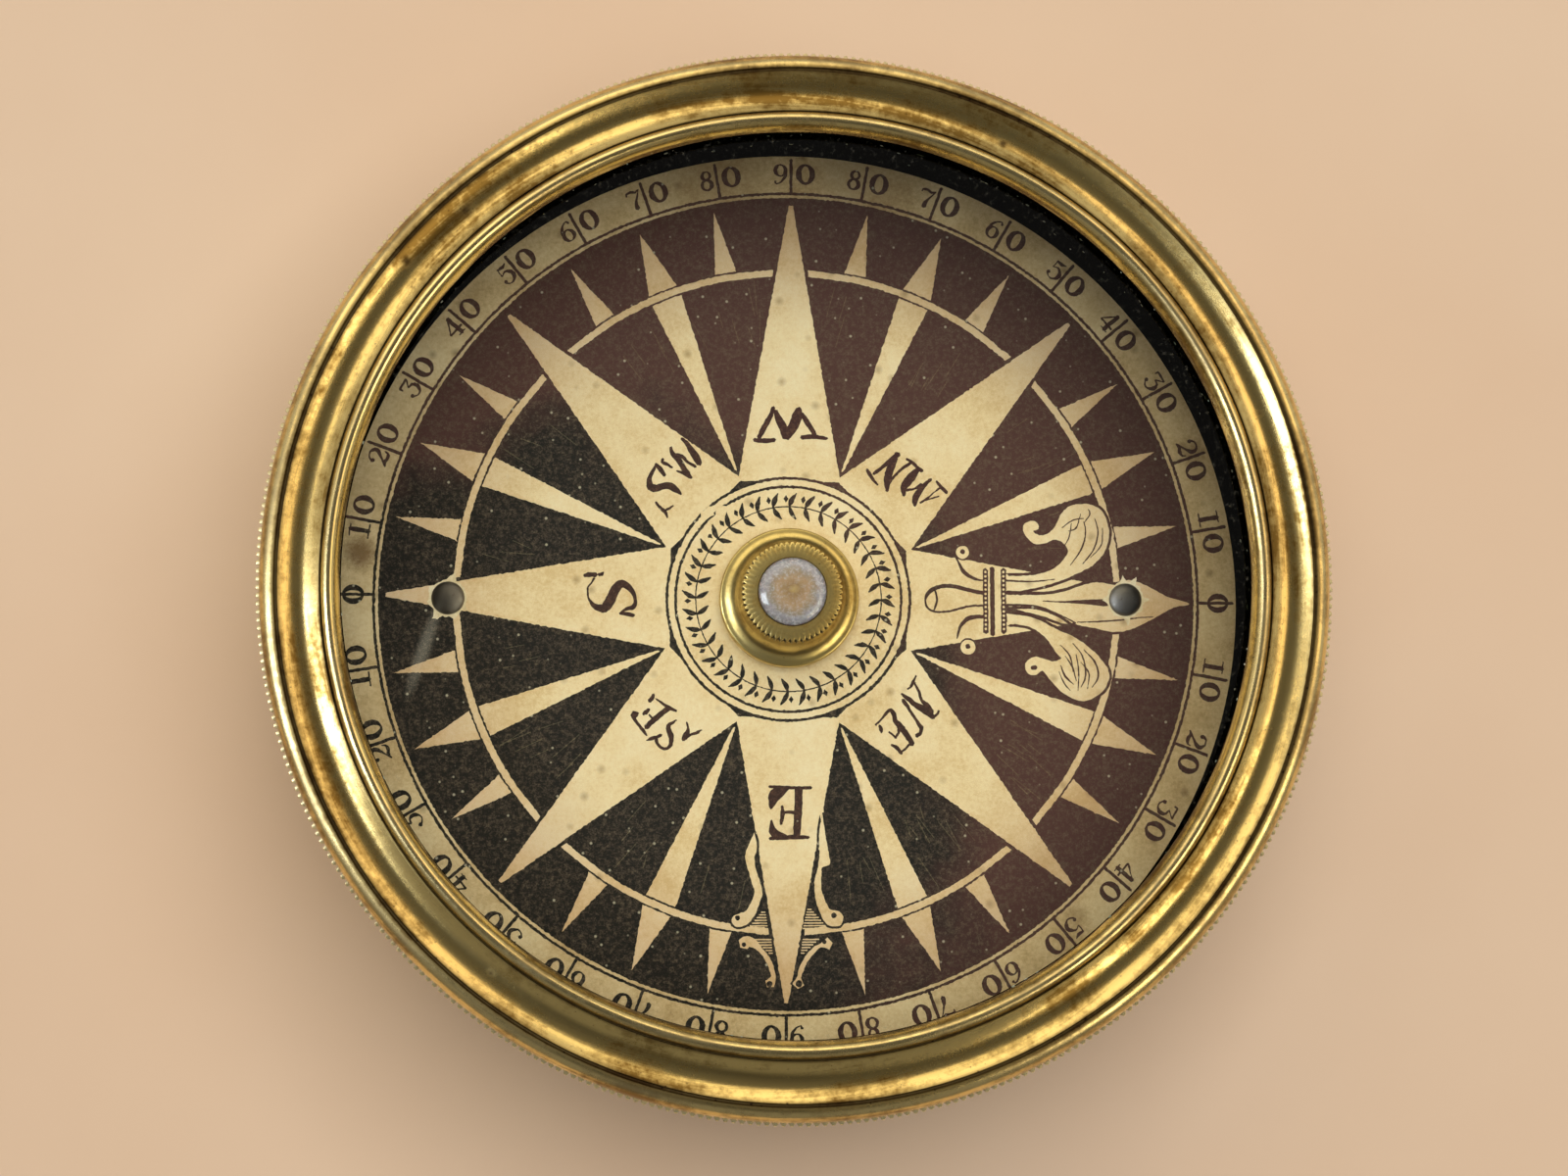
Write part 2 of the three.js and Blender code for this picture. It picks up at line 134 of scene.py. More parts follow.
def plug(tree, node, inputs):
    """Set inputs of a node, each by a link, a hex colour or a value."""
    for name, value in inputs.items():
        if isinstance(value, bpy.types.NodeSocket):
            tree.links.new(value, node.inputs[name])
        elif isinstance(value, str) and value.startswith("#"):
            node.inputs[name].default_value = linear(value)
        else:
            node.inputs[name].default_value = value


def add_node(tree, kind, inputs=None, **settings):
    node = tree.nodes.new(kind)
    for name, value in settings.items():
        setattr(node, name, value)
    plug(tree, node, inputs or {})
    return node


def maths(tree, operation, *values, **settings):
    """The result of a math node on two or three values or links."""
    node = add_node(tree, "ShaderNodeMath", dict(enumerate(values)), operation=operation, **settings)
    return node.outputs[0]


def vector_maths(tree, operation, *values):
    """The result of a vector math node: a number for a length or distance, else a vector."""
    names = (0, "Scale") if operation == "SCALE" else (0, 1)
    node = add_node(tree, "ShaderNodeVectorMath", dict(zip(names, values)), operation=operation)
    return node.outputs["Value" if operation in ("LENGTH", "DISTANCE") else "Vector"]


def combine(tree, x=0.0, y=0.0, z=0.0):
    return add_node(tree, "ShaderNodeCombineXYZ", {0: x, 1: y, 2: z}).outputs[0]


def remap(tree, value, low, high, at_low=0.0, at_high=1.0, smooth=False):
    """A value between low and high as one between at_low and at_high, held at both ends."""
    return add_node(tree, "ShaderNodeMapRange", {0: value, 1: low, 2: high, 3: at_low, 4: at_high},
                    interpolation_type="SMOOTHSTEP" if smooth else "LINEAR").outputs[0]


def noise(tree, place, scale, detail, roughness=0.5):
    """Cloudy noise from 0 to 1, with its scale in cells for a millimetre."""
    return add_node(tree, "ShaderNodeTexNoise", {
        "Vector": place, "Scale": scale, "Detail": detail, "Roughness": roughness}).outputs[0]


def specks(tree, place, scale, core, edge, strength):
    """Round specks at random places: full strength inside the core, none beyond the edge."""
    cells = add_node(tree, "ShaderNodeTexVoronoi", {"Vector": place, "Scale": scale, "Randomness": 1.0})
    return remap(tree, cells.outputs["Distance"], core, edge, strength, 0.0)


def mixed(tree, share, first, second, **settings):
    """Two colours, mixed by a share of the second."""
    return add_node(tree, "ShaderNodeMixRGB", {"Fac": share, "Color1": first, "Color2": second},
                    **settings).outputs[0]


def mixed_shaders(tree, share, first, second):
    return add_node(tree, "ShaderNodeMixShader", {0: share, 1: first, 2: second}).outputs[0]


def ramp(tree, share, *stops):
    """The colour at a share of the way through (position, hex colour) stops."""
    node = add_node(tree, "ShaderNodeValToRGB", {"Fac": share})
    elements = node.color_ramp.elements
    while len(elements) < len(stops):
        elements.new(0.5)
    for element, (position, colour) in zip(elements, stops):
        element.position = position
        element.color = linear(colour)
    return node.outputs[0]


def bumped(tree, height, strength, depth):
    """The surface's normal, disturbed by a height of a depth in millimetres."""
    return add_node(tree, "ShaderNodeBump", {
        "Strength": strength, "Distance": depth * MM, "Height": height}).outputs[0]


def attribute(tree, name):
    """A share stored on the mesh, which is 0 on meshes without it."""
    return add_node(tree, "ShaderNodeAttribute", attribute_name=name).outputs["Fac"]


def new_material(name, sockets):
    """A material with the shader's own sockets set, its tree and its shader."""
    material = bpy.data.materials.new(name)
    material.use_nodes = True
    shader = material.node_tree.nodes["Principled BSDF"]
    plug(material.node_tree, shader, sockets)
    return material, material.node_tree, shader


def millimetres(tree):
    """Object coordinates in millimetres."""
    place = add_node(tree, "ShaderNodeTexCoord").outputs["Object"]
    return vector_maths(tree, "SCALE", place, 1 / MM)


def from_axis(tree, place):
    """A place's distance from the turning axis, its vector from there, and its x, y and z."""
    parts = add_node(tree, "ShaderNodeSeparateXYZ", {0: place}).outputs
    flat = combine(tree, parts[0], parts[1])
    return vector_maths(tree, "LENGTH", flat), flat, parts


def lathe_coordinates(tree, place):
    """(radius, height) of a turned surface, drifting a little on the way round it."""
    radius, _, parts = from_axis(tree, place)
    turned = combine(tree, radius, parts[2])
    drift = vector_maths(tree, "SCALE", place, 0.06)
    return vector_maths(tree, "ADD", turned, drift)


# Metals.

def aged_brass(name, bright, dull, stain_and_shade, roughness, mark_width=0.12, blackened=False):
    """Lathe-turned brass, handled for two centuries.

    Lacquer is gone. Rubbed places are pale gold, on the bezel partly a painted highlight,
    sheltered ones are brown and satin, the recesses hold black dirt with some painted shade,
    and fine tool marks run round the work.
    """
    material, tree, shader = new_material(name, {"Metallic": 1.0})
    place = millimetres(tree)
    turned = lathe_coordinates(tree, place)
    cloud = noise(tree, place, 0.16, 6, 0.62)
    ring = noise(tree, turned, 1.1, 5, 0.7)
    mottle = noise(tree, place, 1.6, 8, 0.72)
    grime_and_shade = attribute(tree, "grime_and_shade")
    rubbed = attribute(tree, "rubbed")
    drift = maths(tree, "ADD", cloud, ring)
    blotch = maths(tree, "MULTIPLY_ADD", mottle, 0.7, drift)
    level = remap(tree, blotch, 1.25, 1.55)
    tarnish = mixed(tree, level, bright, dull)
    # Pale rubbed gold: wear, and on the bezel partly a painted highlight.
    patina = mixed(tree, rubbed, tarnish, "#f6e7b0")
    pits = specks(tree, place, 1.9, 0.0, 0.16, 0.55)
    soil_and_shade = maths(tree, "ADD", grime_and_shade, pits, use_clamp=True)
    colour = mixed(tree, soil_and_shade, patina, stain_and_shade)
    dulled = maths(tree, "MULTIPLY_ADD", level, 0.16, roughness)
    rough = maths(tree, "MULTIPLY_ADD", soil_and_shade, 0.3, dulled)
    tool_marks = noise(tree, turned, 1 / mark_width, 3, 0.6)
    dents = noise(tree, place, 0.9, 4)
    relief = maths(tree, "MULTIPLY_ADD", tool_marks, 0.25, dents)
    bump = bumped(tree, relief, 0.35, 0.035)
    if blackened:
        inside = attribute(tree, "blackened")
        bloom = ramp(tree, dents, (0.0, "#050504"), (0.69, "#090907"), (0.76, "#66745f"))
        colour = mixed(tree, inside, colour, bloom)
        bare = maths(tree, "SUBTRACT", 1.0, inside)
        rough = maths(tree, "MULTIPLY_ADD", inside, 0.35, rough)
        shine = maths(tree, "MULTIPLY", 0.5, bare)
        plug(tree, shader, {"Metallic": bare, "Specular IOR Level": shine})
    plug(tree, shader, {"Base Color": colour, "Roughness": rough, "Normal": bump})
    return material


def worked_steel(name, clean, rusted, roughness, grain):
    """Hand-filed steel: grey to blue-black, clouded, with brown rust starting in the pits."""
    material, tree, shader = new_material(name, {"Metallic": 1.0})
    cloud = noise(tree, millimetres(tree), grain, 8, 0.7)
    plug(tree, shader, {
        "Base Color": ramp(tree, cloud, (0.35, clean), (0.62, clean), (0.78, rusted)),
        "Roughness": remap(tree, cloud, 0.3, 0.8, roughness, roughness + 0.35),
        "Normal": bumped(tree, cloud, 0.4, 0.03),
    })
    return material


# Paper, ink, stone and glass.

# Where a painted haze dulls the card's paper and turns its ink maroon, and the streak wiped over the glass.
PAINTED_HAZE_START_RADIUS = 17.0
PAINTED_HAZE_FULL_RADIUS = 23.0
BLACK_INK_MIDDLE = (-12, -12)
BLACK_INK_RADIUS = 28.0
PAINTED_HAZE_INK_RADIUS = 34.0
STREAK_MIDDLE = (-22.2, -4.1)
STREAK_AZIMUTH = 71.6
STREAK_HALF_SIZE = (3.4, 0.5)
DUSTY_RIM = 1.2


def laid_paper(name, light, mid, dark, stain_and_shade="#8a6a3a", stains_and_shade=(), painted_haze_tint="#ffffff"):
    """Rag paper varnished and yellowed with age: warm, mottled, with brown specks of foxing.

    The card's rim is duller than its middle by a tint, which is a painted haze, and stains are
    (azimuth, radius, spread, strength) on it; some broad ones are painted shade.
    """
    material, tree, shader = new_material(name, {"Specular IOR Level": 0.25, "Roughness": 0.62})
    place = millimetres(tree)
    cloud = noise(tree, place, 0.22, 5, 0.6)
    pulp = noise(tree, place, 4.5, 6, 0.75)
    even = remap(tree, maths(tree, "MULTIPLY_ADD", pulp, 0.8, cloud), 0.6, 1.2)
    tone = ramp(tree, even, (0.15, dark), (0.5, mid), (0.85, light))
    foxing = specks(tree, place, 0.55, 0.03, 0.2, 0.5)
    colour = mixed(tree, foxing, tone, stain_and_shade)
    for azimuth, radius, spread, strength in stains_and_shade:
        angle = math.radians(azimuth)
        middle = (radius * math.cos(angle), radius * math.sin(angle), CARD_TOP)
        away = vector_maths(tree, "DISTANCE", place, middle)
        frayed = maths(tree, "MULTIPLY_ADD", pulp, 0.8 * spread, away)
        stain_and_shade_share = remap(tree, frayed, 0.6 * spread, 1.6 * spread, strength, 0.0, smooth=True)
        colour = mixed(tree, stain_and_shade_share, colour, stain_and_shade)
    # Painted haze: the paper is tinted duller from the first radius out to the second.
    from_middle = vector_maths(tree, "DISTANCE", place, (0, 0, CARD_TOP))
    outer = remap(tree, from_middle, PAINTED_HAZE_START_RADIUS, PAINTED_HAZE_FULL_RADIUS)
    tinted = mixed(tree, outer, colour, painted_haze_tint, blend_type="MULTIPLY")
    plug(tree, shader, {"Base Color": tinted, "Normal": bumped(tree, pulp, 0.35, 0.02)})
    return material


def copperplate_ink(name, black, painted_haze_colour, worn):
    """Intaglio ink on paper: black on one side of the card, turned maroon on the other by a painted haze.

    It is rubbed thin in specks, so that the paper's fibres show as pale dots.
    """
    material, tree, shader = new_material(name, {"Specular IOR Level": 0.3, "Roughness": 0.55})
    place = millimetres(tree)
    # Painted haze: the ink turns from black to maroon away from its black side.
    spread = vector_maths(tree, "DISTANCE", place, (*BLACK_INK_MIDDLE, CARD_TOP))
    cloud = noise(tree, place, 0.13, 5, 0.6)
    swing = maths(tree, "MULTIPLY_ADD", cloud, 16.0, spread)
    side = remap(tree, swing, BLACK_INK_RADIUS, PAINTED_HAZE_INK_RADIUS, smooth=True)
    hazed_ink = mixed(tree, side, black, painted_haze_colour)
    grain = noise(tree, place, 4.5, 4, 0.85)
    thin = remap(tree, grain, 0.48, 0.68, 0.0, 0.8)
    rubbed = mixed(tree, thin, hazed_ink, worn)
    fibres = specks(tree, place, 1.1, 0.06, 0.12, 0.9)
    specked = mixed(tree, fibres, rubbed, "#b3ac96")
    plug(tree, shader, {"Base Color": specked, "Normal": bumped(tree, grain, 0.2, 0.01)})
    return material


def cloudy_agate():
    """Polished agate: grey chalcedony, clear enough that the cup shows as a brown eye."""
    material, tree, shader = new_material("cloudy_agate", {
        "Roughness": 0.16, "IOR": 1.54, "Coat Weight": 0.6, "Coat Roughness": 0.05,
        "Subsurface Weight": 0.25, "Subsurface Scale": 0.4 * MM,
    })
    place = millimetres(tree)
    wisps = noise(tree, place, 1.3, 7, 0.65)
    bent = maths(tree, "MULTIPLY_ADD", wisps, 1.1, from_axis(tree, place)[0])
    depth = remap(tree, bent, 0.4, 2.8)
    tone = ramp(tree, depth, (0.0, "#c9ae74"), (0.2, "#a08460"), (0.45, "#b69a7a"), (0.62, "#a0917f"),
                (0.78, "#a2a0ad"), (1.0, "#85828a"))
    haze = remap(tree, noise(tree, place, 5.5, 4, 0.75), 0.47, 0.66)
    cloudy = maths(tree, "MULTIPLY", haze, depth)
    plug(tree, shader, {"Base Color": mixed(tree, cloudy, tone, "#d3d1dc")})
    return material


def window_glass():
    """Old crown glass: clear, with a sharp reflection, a wiped streak and dusty corners.

    Only the faces that light enters by mirror it, so one pane gives one reflection.
    """
    material, tree, shader = new_material("crown_glass", {})
    tree.nodes.remove(shader)
    clear = add_node(tree, "ShaderNodeBsdfTransparent", {"Color": "#fdfefc"}).outputs[0]
    gloss = add_node(tree, "ShaderNodeBsdfGlossy", {"Roughness": 0.02}).outputs[0]
    slant = add_node(tree, "ShaderNodeLayerWeight", {"Blend": 0.5}).outputs["Facing"]
    mirrored = maths(tree, "MULTIPLY_ADD", maths(tree, "POWER", slant, 5.0), 0.96, 0.04)
    leaving = add_node(tree, "ShaderNodeNewGeometry").outputs["Backfacing"]
    entering = maths(tree, "SUBTRACT", 1.0, leaving)
    pane = mixed_shaders(tree, maths(tree, "MULTIPLY", mirrored, entering), clear, gloss)
    place = millimetres(tree)
    from_middle = vector_maths(tree, "DISTANCE", place, (0, 0, LIP_SEAT))
    corner = remap(tree, from_middle, LIP_BORE - DUSTY_RIM, LIP_BORE, 0.0, 0.22)
    flocks = remap(tree, noise(tree, place, 2.5, 6, 0.8), 0.58, 0.7)
    settled = maths(tree, "MULTIPLY", corner, flocks)
    streak = add_node(tree, "ShaderNodeMapping", {
        "Vector": place, "Location": (*STREAK_MIDDLE, LIP_SEAT), "Scale": (*STREAK_HALF_SIZE, 20),
        "Rotation": (0, 0, math.radians(STREAK_AZIMUTH))}, vector_type="TEXTURE").outputs[0]
    smear = remap(tree, vector_maths(tree, "LENGTH", streak), 0.3, 1.0, 0.1, 0.0)
    dust = add_node(tree, "ShaderNodeBsdfDiffuse", {"Color": "#c9c6b4"}).outputs[0]
    dusty = mixed_shaders(tree, maths(tree, "MAXIMUM", settled, smear), pane, dust)
    plug(tree, tree.nodes["Material Output"], {"Surface": dusty})
    return material


def pasteboard(name, light, dark):
    """Layered pasteboard, cut with a knife: soft brown fibres in plies."""
    material, tree, shader = new_material(name, {"Roughness": 0.85, "Specular IOR Level": 0.2})
    plies = add_node(tree, "ShaderNodeMapping", {"Vector": millimetres(tree), "Scale": (0.6, 0.6, 9.0)})
    fibre = noise(tree, plies.outputs[0], 1.4, 6, 0.7)
    plug(tree, shader, {"Base Color": ramp(tree, fibre, (0.3, dark), (0.7, light)),
                        "Normal": bumped(tree, fibre, 0.5, 0.04)})
    return material


def verdigris():
    """Powdery copper salts and dust: pale grey-green crumbs."""
    material, tree, shader = new_material("verdigris_dust", {"Roughness": 0.9})
    hue = noise(tree, millimetres(tree), 0.8, 2)
    tone = ramp(tree, hue, (0.35, "#8fa596"), (0.5, "#c6d0c0"), (0.65, "#eceee2"))
    plug(tree, shader, {"Base Color": tone})
    return material


BEZEL_BRASS = aged_brass("worn_turned_brass_bezel", "#e3c981", "#7f6430", "#2b1d15", 0.2, blackened=True)
CASE_BRASS = aged_brass("turned_brass_case", "#cdb672", "#80693a", "#1d170b", 0.26, blackened=True)
FITTING_BRASS = aged_brass("filed_brass_fitting", "#b28f4c", "#6f5730", "#1d170b", 0.34)
CAP_BRASS = aged_brass("turned_brass_cap", "#e8d088", "#a88744", "#171008", 0.3, mark_width=0.05)
NEEDLE_STEEL = worked_steel("blued_needle_steel", "#29303c", "#4a3424", 0.3, 0.7)
PIN_STEEL = worked_steel("ground_pin_steel", "#8f9194", "#6a5340", 0.2, 1.5)
RIVET_STEEL = worked_steel("dull_rivet_steel", "#8b8885", "#6b5a4c", 0.4, 2.2)
CREAM_PAPER = laid_paper("aged_rag_paper", "#fbecc6", "#f4dfb2", "#e3c793", painted_haze_tint="#e4d8d4")
# The broad stains at 80 and 100 degrees are painted shade under the bezel's lip; the one at 174 is a real
# brown stain.
RING_PAPER = laid_paper("browned_rag_paper", "#ecd8ac", "#dcc394", "#c0a474", stain_and_shade="#6b4a22", stains_and_shade=(
    (174, 27.2, 1.3, 0.8), (80, 27.4, 5.0, 0.35), (100, 27.4, 5.0, 0.35), (20, 27.6, 1.0, 0.4),
    (250, 27.6, 1.2, 0.35), (312, 27.0, 1.0, 0.3)))
TORN_PAPER = laid_paper("torn_paper_fibre", "#f0e6cc", "#e3d4ae", "#cbb68a")
ROSE_INK = copperplate_ink("rose_ink", "#11100e", "#4d302b", "#6a5c4c")
LETTER_INK = copperplate_ink("letter_ink", "#33201c", "#3a1f1f", "#6b4c3a")
SCORED_INK = copperplate_ink("scored_ink", "#4a4636", "#5e4a3a", "#8a7a5c")
BOARD = pasteboard("card_pasteboard", "#a88a5c", "#7d6138")
GASKET_PAPER = pasteboard("oiled_paper_gasket", "#2a2620", "#14120f")
AGATE = cloudy_agate()
GLASS = window_glass()
DUST = verdigris()


# Meshes.

SHARP_ANGLE = math.radians(32)


def link_mesh(name, mesh, materials):
    """An object at the origin for a finished mesh, smooth but for its sharp edges."""
    for material in materials:
        mesh.materials.append(material)
    mesh.shade_smooth()
    mesh.set_sharp_from_angle(angle=SHARP_ANGLE)
    piece = bpy.data.objects.new(name, mesh)
    bpy.context.scene.collection.objects.link(piece)
    return piece


def turned_mesh(name, bands, segments):
    """A closed turned mesh from bands of (radius, height) points, run anticlockwise.

    Each band is (blackened, points), and the last point of one band starts the next. An
    outline that starts and ends on the axis is closed there.
    """
    outline = []
    black = []
    for blackened, points in bands:
        outline.extend(points)
        black.extend([blackened] * len(points))
    on_axis = outline[0][0] == 0
    angles = (np.arange(segments) + 0.5) * (FULL_TURN / segments)
    points = []
    rings = []
    for radius, height in outline:
        if radius == 0:
            rings.append([len(points)] * segments)
            points.append((0, 0, height))
            continue
        rings.append(list(range(len(points), len(points) + segments)))
        points.extend(zip(radius * np.cos(angles), radius * np.sin(angles), [height] * segments))
    faces = []
    marks = []
    count = len(outline)
    for at in range(count - 1 if on_axis else count):
        lower = rings[at]
        upper = rings[(at + 1) % count]
        for k in range(segments):
            after = (k + 1) % segments
            corners = [lower[k], lower[after], upper[after], upper[k]]
            faces.append(list(dict.fromkeys(corners)))
        marks.extend([black[at]] * segments)
    mesh = bpy.data.meshes.new(name)
    mesh.from_pydata((np.array(points) * MM).tolist(), [], faces)
    shade = mesh.attributes.new("blackened", "FLOAT", "FACE")
    shade.data.foreach_set("value", marks)
    return mesh


def set_share(mesh, name, rule):
    """Store a share from 0 to 1 at each point, by a rule of its place in millimetres."""
    places = np.zeros(len(mesh.vertices) * 3)
    mesh.vertices.foreach_get("co", places)
    x, y, z = (places.reshape(-1, 3) / MM).T
    share = mesh.attributes.new(name, "FLOAT", "POINT")
    share.data.foreach_set("value", np.clip(rule(x, y, z), 0, 1).astype(np.float32))


def quarter_arc(start, end, corner, steps):
    """A quarter of an ellipse between two points, bulging towards a corner point."""
    points = []
    for step in range(1, steps):
        angle = step / steps * math.pi / 2
        to_end = 1 - math.cos(angle)
        to_start = 1 - math.sin(angle)
        points.append(tuple(c + (s - c) * to_start + (e - c) * to_end
                            for s, e, c in zip(start, end, corner)))
    return points


def sag_arc(start, end, sag, steps):
    """A shallow curve between two points at one height, raised in the middle by sag."""
    points = []
    for step in range(1, steps):
        share = step / steps
        radius = start[0] + (end[0] - start[0]) * share
        points.append((radius, start[1] + sag * math.sin(share * math.pi)))
    return points


# Geometry node trees.

def new_tree(name, numbers, counts=()):
    """A geometry node tree, with inputs for its numbers, its counts and the finish."""
    tree = bpy.data.node_groups.new(name, "GeometryNodeTree")
    kinds = {"Geometry": "Geometry", **dict.fromkeys(numbers, "Float"), **dict.fromkeys(counts, "Int"),
             "Finish": "Material"}
    for socket, kind in kinds.items():
        tree.interface.new_socket(socket, in_out="INPUT", socket_type=f"NodeSocket{kind}")
    tree.interface.new_socket("Geometry", in_out="OUTPUT", socket_type="NodeSocketGeometry")
    return tree, add_node(tree, "NodeGroupInput").outputs


def close_tree(tree, geometry, finish):
    real = add_node(tree, "GeometryNodeRealizeInstances", {0: geometry}).outputs[0]
    dressed = add_node(tree, "GeometryNodeSetMaterial", {"Geometry": real, "Material": finish})
    add_node(tree, "NodeGroupOutput", {0: dressed.outputs[0]})


def run_tree(tree, mesh, name, values):
    """Run a tree on a mesh with its inputs set, and keep the result as a plain mesh object."""
    carrier = bpy.data.objects.new(name, mesh)
    bpy.context.scene.collection.objects.link(carrier)
    modifier = carrier.modifiers.new("nodes", "NODES")
    modifier.node_group = tree
    sockets = {s.name: s.identifier for s in tree.interface.items_tree if s.in_out == "INPUT"}
    for size, value in values.items():
        modifier[sockets[size]] = value
    graph = bpy.context.evaluated_depsgraph_get()
    graph.update()
    made = bpy.data.meshes.new_from_object(carrier.evaluated_get(graph), preserve_all_data_layers=True,
                                           depsgraph=graph)
    bpy.data.objects.remove(carrier)
    made.name = name
    return link_mesh(name, made, [])


def milled_edge_tree():
    """Cuts V-shaped notches into whatever lies outside the teeth's roots, and darkens the roots with dirt and
    painted shade.

    Flat Tip is how much of the way from one tooth to the next stays uncut.
    """
    tree, sizes = new_tree("milled_edge", (
        "Teeth", "Flat Tip", "Tip Radius", "Tooth Depth", "Root Dirt And Shade", "Lowest"))
    radius, flat, parts = from_axis(tree, add_node(tree, "GeometryNodeInputPosition").outputs[0])
    angle = maths(tree, "ARCTAN2", parts[1], parts[0])
    turns = maths(tree, "MULTIPLY", angle, 1 / FULL_TURN)
    phase = maths(tree, "MULTIPLY", turns, sizes["Teeth"])
    from_tip = maths(tree, "PINGPONG", phase, 0.5)
    half_tip = maths(tree, "MULTIPLY", sizes["Flat Tip"], 0.5)
    cut = remap(tree, from_tip, half_tip, 0.5, 0.0, sizes["Tooth Depth"])
    tooth = maths(tree, "SUBTRACT", sizes["Tip Radius"], cut)
    allowed = maths(tree, "MINIMUM", tooth, radius)
    removed = maths(tree, "SUBTRACT", radius, allowed)
    share = maths(tree, "DIVIDE", removed, sizes["Tooth Depth"])
    root = maths(tree, "MULTIPLY", share, sizes["Root Dirt And Shade"])
    old = add_node(tree, "GeometryNodeInputNamedAttribute", {"Name": "grime_and_shade"}, data_type="FLOAT").outputs[0]
    dirt_and_shade = maths(tree, "MAXIMUM", old, root)
    high_enough = add_node(tree, "FunctionNodeCompare", {0: parts[2], 1: sizes["Lowest"]},
                           operation="GREATER_EQUAL").outputs[0]
    marked = add_node(tree, "GeometryNodeStoreNamedAttribute", {
        "Geometry": sizes["Geometry"], "Selection": high_enough, "Name": "grime_and_shade", "Value": dirt_and_shade,
    }, data_type="FLOAT", domain="POINT")
    shrunk = vector_maths(tree, "SCALE", flat, maths(tree, "DIVIDE", allowed, radius))
    moved = vector_maths(tree, "ADD", shrunk, combine(tree, z=parts[2]))
    cut_mesh = add_node(tree, "GeometryNodeSetPosition", {
        "Geometry": marked.outputs[0], "Selection": high_enough, "Position": moved})
    close_tree(tree, cut_mesh.outputs[0], sizes["Finish"])
    return tree


def crumbs_tree():
    """Scatters small squashed crumbs over the faces of a mesh, in sizes from a seed."""
    tree, sizes = new_tree("crumbs", ("Per Square Metre", "Crumb Radius"), ("Seed",))
    spread = add_node(tree, "GeometryNodeDistributePointsOnFaces", {
        "Mesh": sizes["Geometry"], "Density": sizes["Per Square Metre"], "Seed": sizes["Seed"]})
    crumb = add_node(tree, "GeometryNodeMeshIcoSphere", {"Radius": sizes["Crumb Radius"], "Subdivisions": 1})
    size = add_node(tree, "FunctionNodeRandomValue", {
        "Seed": sizes["Seed"], 0: (0.4, 0.3, 0.25), 1: (1.6, 1.1, 0.5)}, data_type="FLOAT_VECTOR")
    placed = add_node(tree, "GeometryNodeInstanceOnPoints", {
        "Points": spread.outputs["Points"], "Instance": crumb.outputs["Mesh"],
        "Rotation": spread.outputs["Rotation"], "Scale": size.outputs[0],
    })
    close_tree(tree, placed.outputs[0], sizes["Finish"])
    return tree


MILLED_EDGE = milled_edge_tree()
CRUMBS = crumbs_tree()


# Bezel, glass fittings and case.

def bezel_profile():
    """The bezel's turned outline: brass outside and on top, blackened inside."""
    shoulder_foot = (MILLING_RADIUS - 0.24, SHOULDER_BOTTOM - 0.06)
    groove_outer = (GROOVE_RADIUS + 0.13, CREASE_HEIGHT)
    groove_inner = (GROOVE_RADIUS - 0.13, CREASE_HEIGHT)
    crease_outer = (CREASE_RADIUS + 0.06, CREASE_HEIGHT)
    crease_inner = (CREASE_RADIUS - 0.06, CREASE_HEIGHT)
    crown = (LIP_BORE + 0.6, BEAD_TOP)
    lip_edge = (LIP_BORE, CREASE_HEIGHT - 0.7)
    outside = [
        (SPIGOT_RADIUS, SPIGOT_BOTTOM), (SPIGOT_RADIUS, RIM), (MILLING_RADIUS - 0.55, RIM),
        (MILLING_RADIUS - 0.15, RIM + 0.18), (MILLING_RADIUS, RIM + 0.4),
        (MILLING_RADIUS, SHOULDER_BOTTOM - 0.24), (MILLING_RADIUS - 0.04, SHOULDER_BOTTOM - 0.16),
        shoulder_foot, *quarter_arc(shoulder_foot, groove_outer, (shoulder_foot[0], CREASE_HEIGHT), 12),
        groove_outer, (GROOVE_RADIUS + 0.05, CREASE_HEIGHT - 0.13),
        (GROOVE_RADIUS - 0.05, CREASE_HEIGHT - 0.13), groove_inner,
        *sag_arc(groove_inner, crease_outer, -HOLLOW_DEPTH, 16),
        crease_outer, (CREASE_RADIUS + 0.02, CREASE_HEIGHT - 0.1),
        (CREASE_RADIUS - 0.02, CREASE_HEIGHT - 0.1), crease_inner,
        *quarter_arc(crown, crease_inner, (crease_inner[0], BEAD_TOP), 7)[::-1], crown,
        *quarter_arc(crown, lip_edge, (LIP_BORE, BEAD_TOP), 9),
    ]
    inside = [
        lip_edge, (LIP_BORE, LIP_SEAT), (GLASS_POCKET, LIP_SEAT), (GLASS_POCKET, GLASS_BOTTOM),
        (RETAINER_GROOVE, GLASS_BOTTOM), (RETAINER_GROOVE, RETAINER_BOTTOM - 0.05),
        (GLASS_POCKET, RETAINER_BOTTOM - 0.05), (GLASS_POCKET, SPIGOT_BOTTOM),
    ]
    return [(0.0, outside), (1.0, inside)]


def near(x, y, azimuth, radius, width_along, width_across):
    """1 at a spot given by azimuth in degrees and radius, falling smoothly to 0 round it."""
    angle = np.degrees(np.arctan2(y, x))
    along = np.radians((angle - azimuth + 180) % 360 - 180) * radius
    across = np.hypot(x, y) - radius
    return np.exp(-(along / width_along) ** 2 - (across / width_across) ** 2)


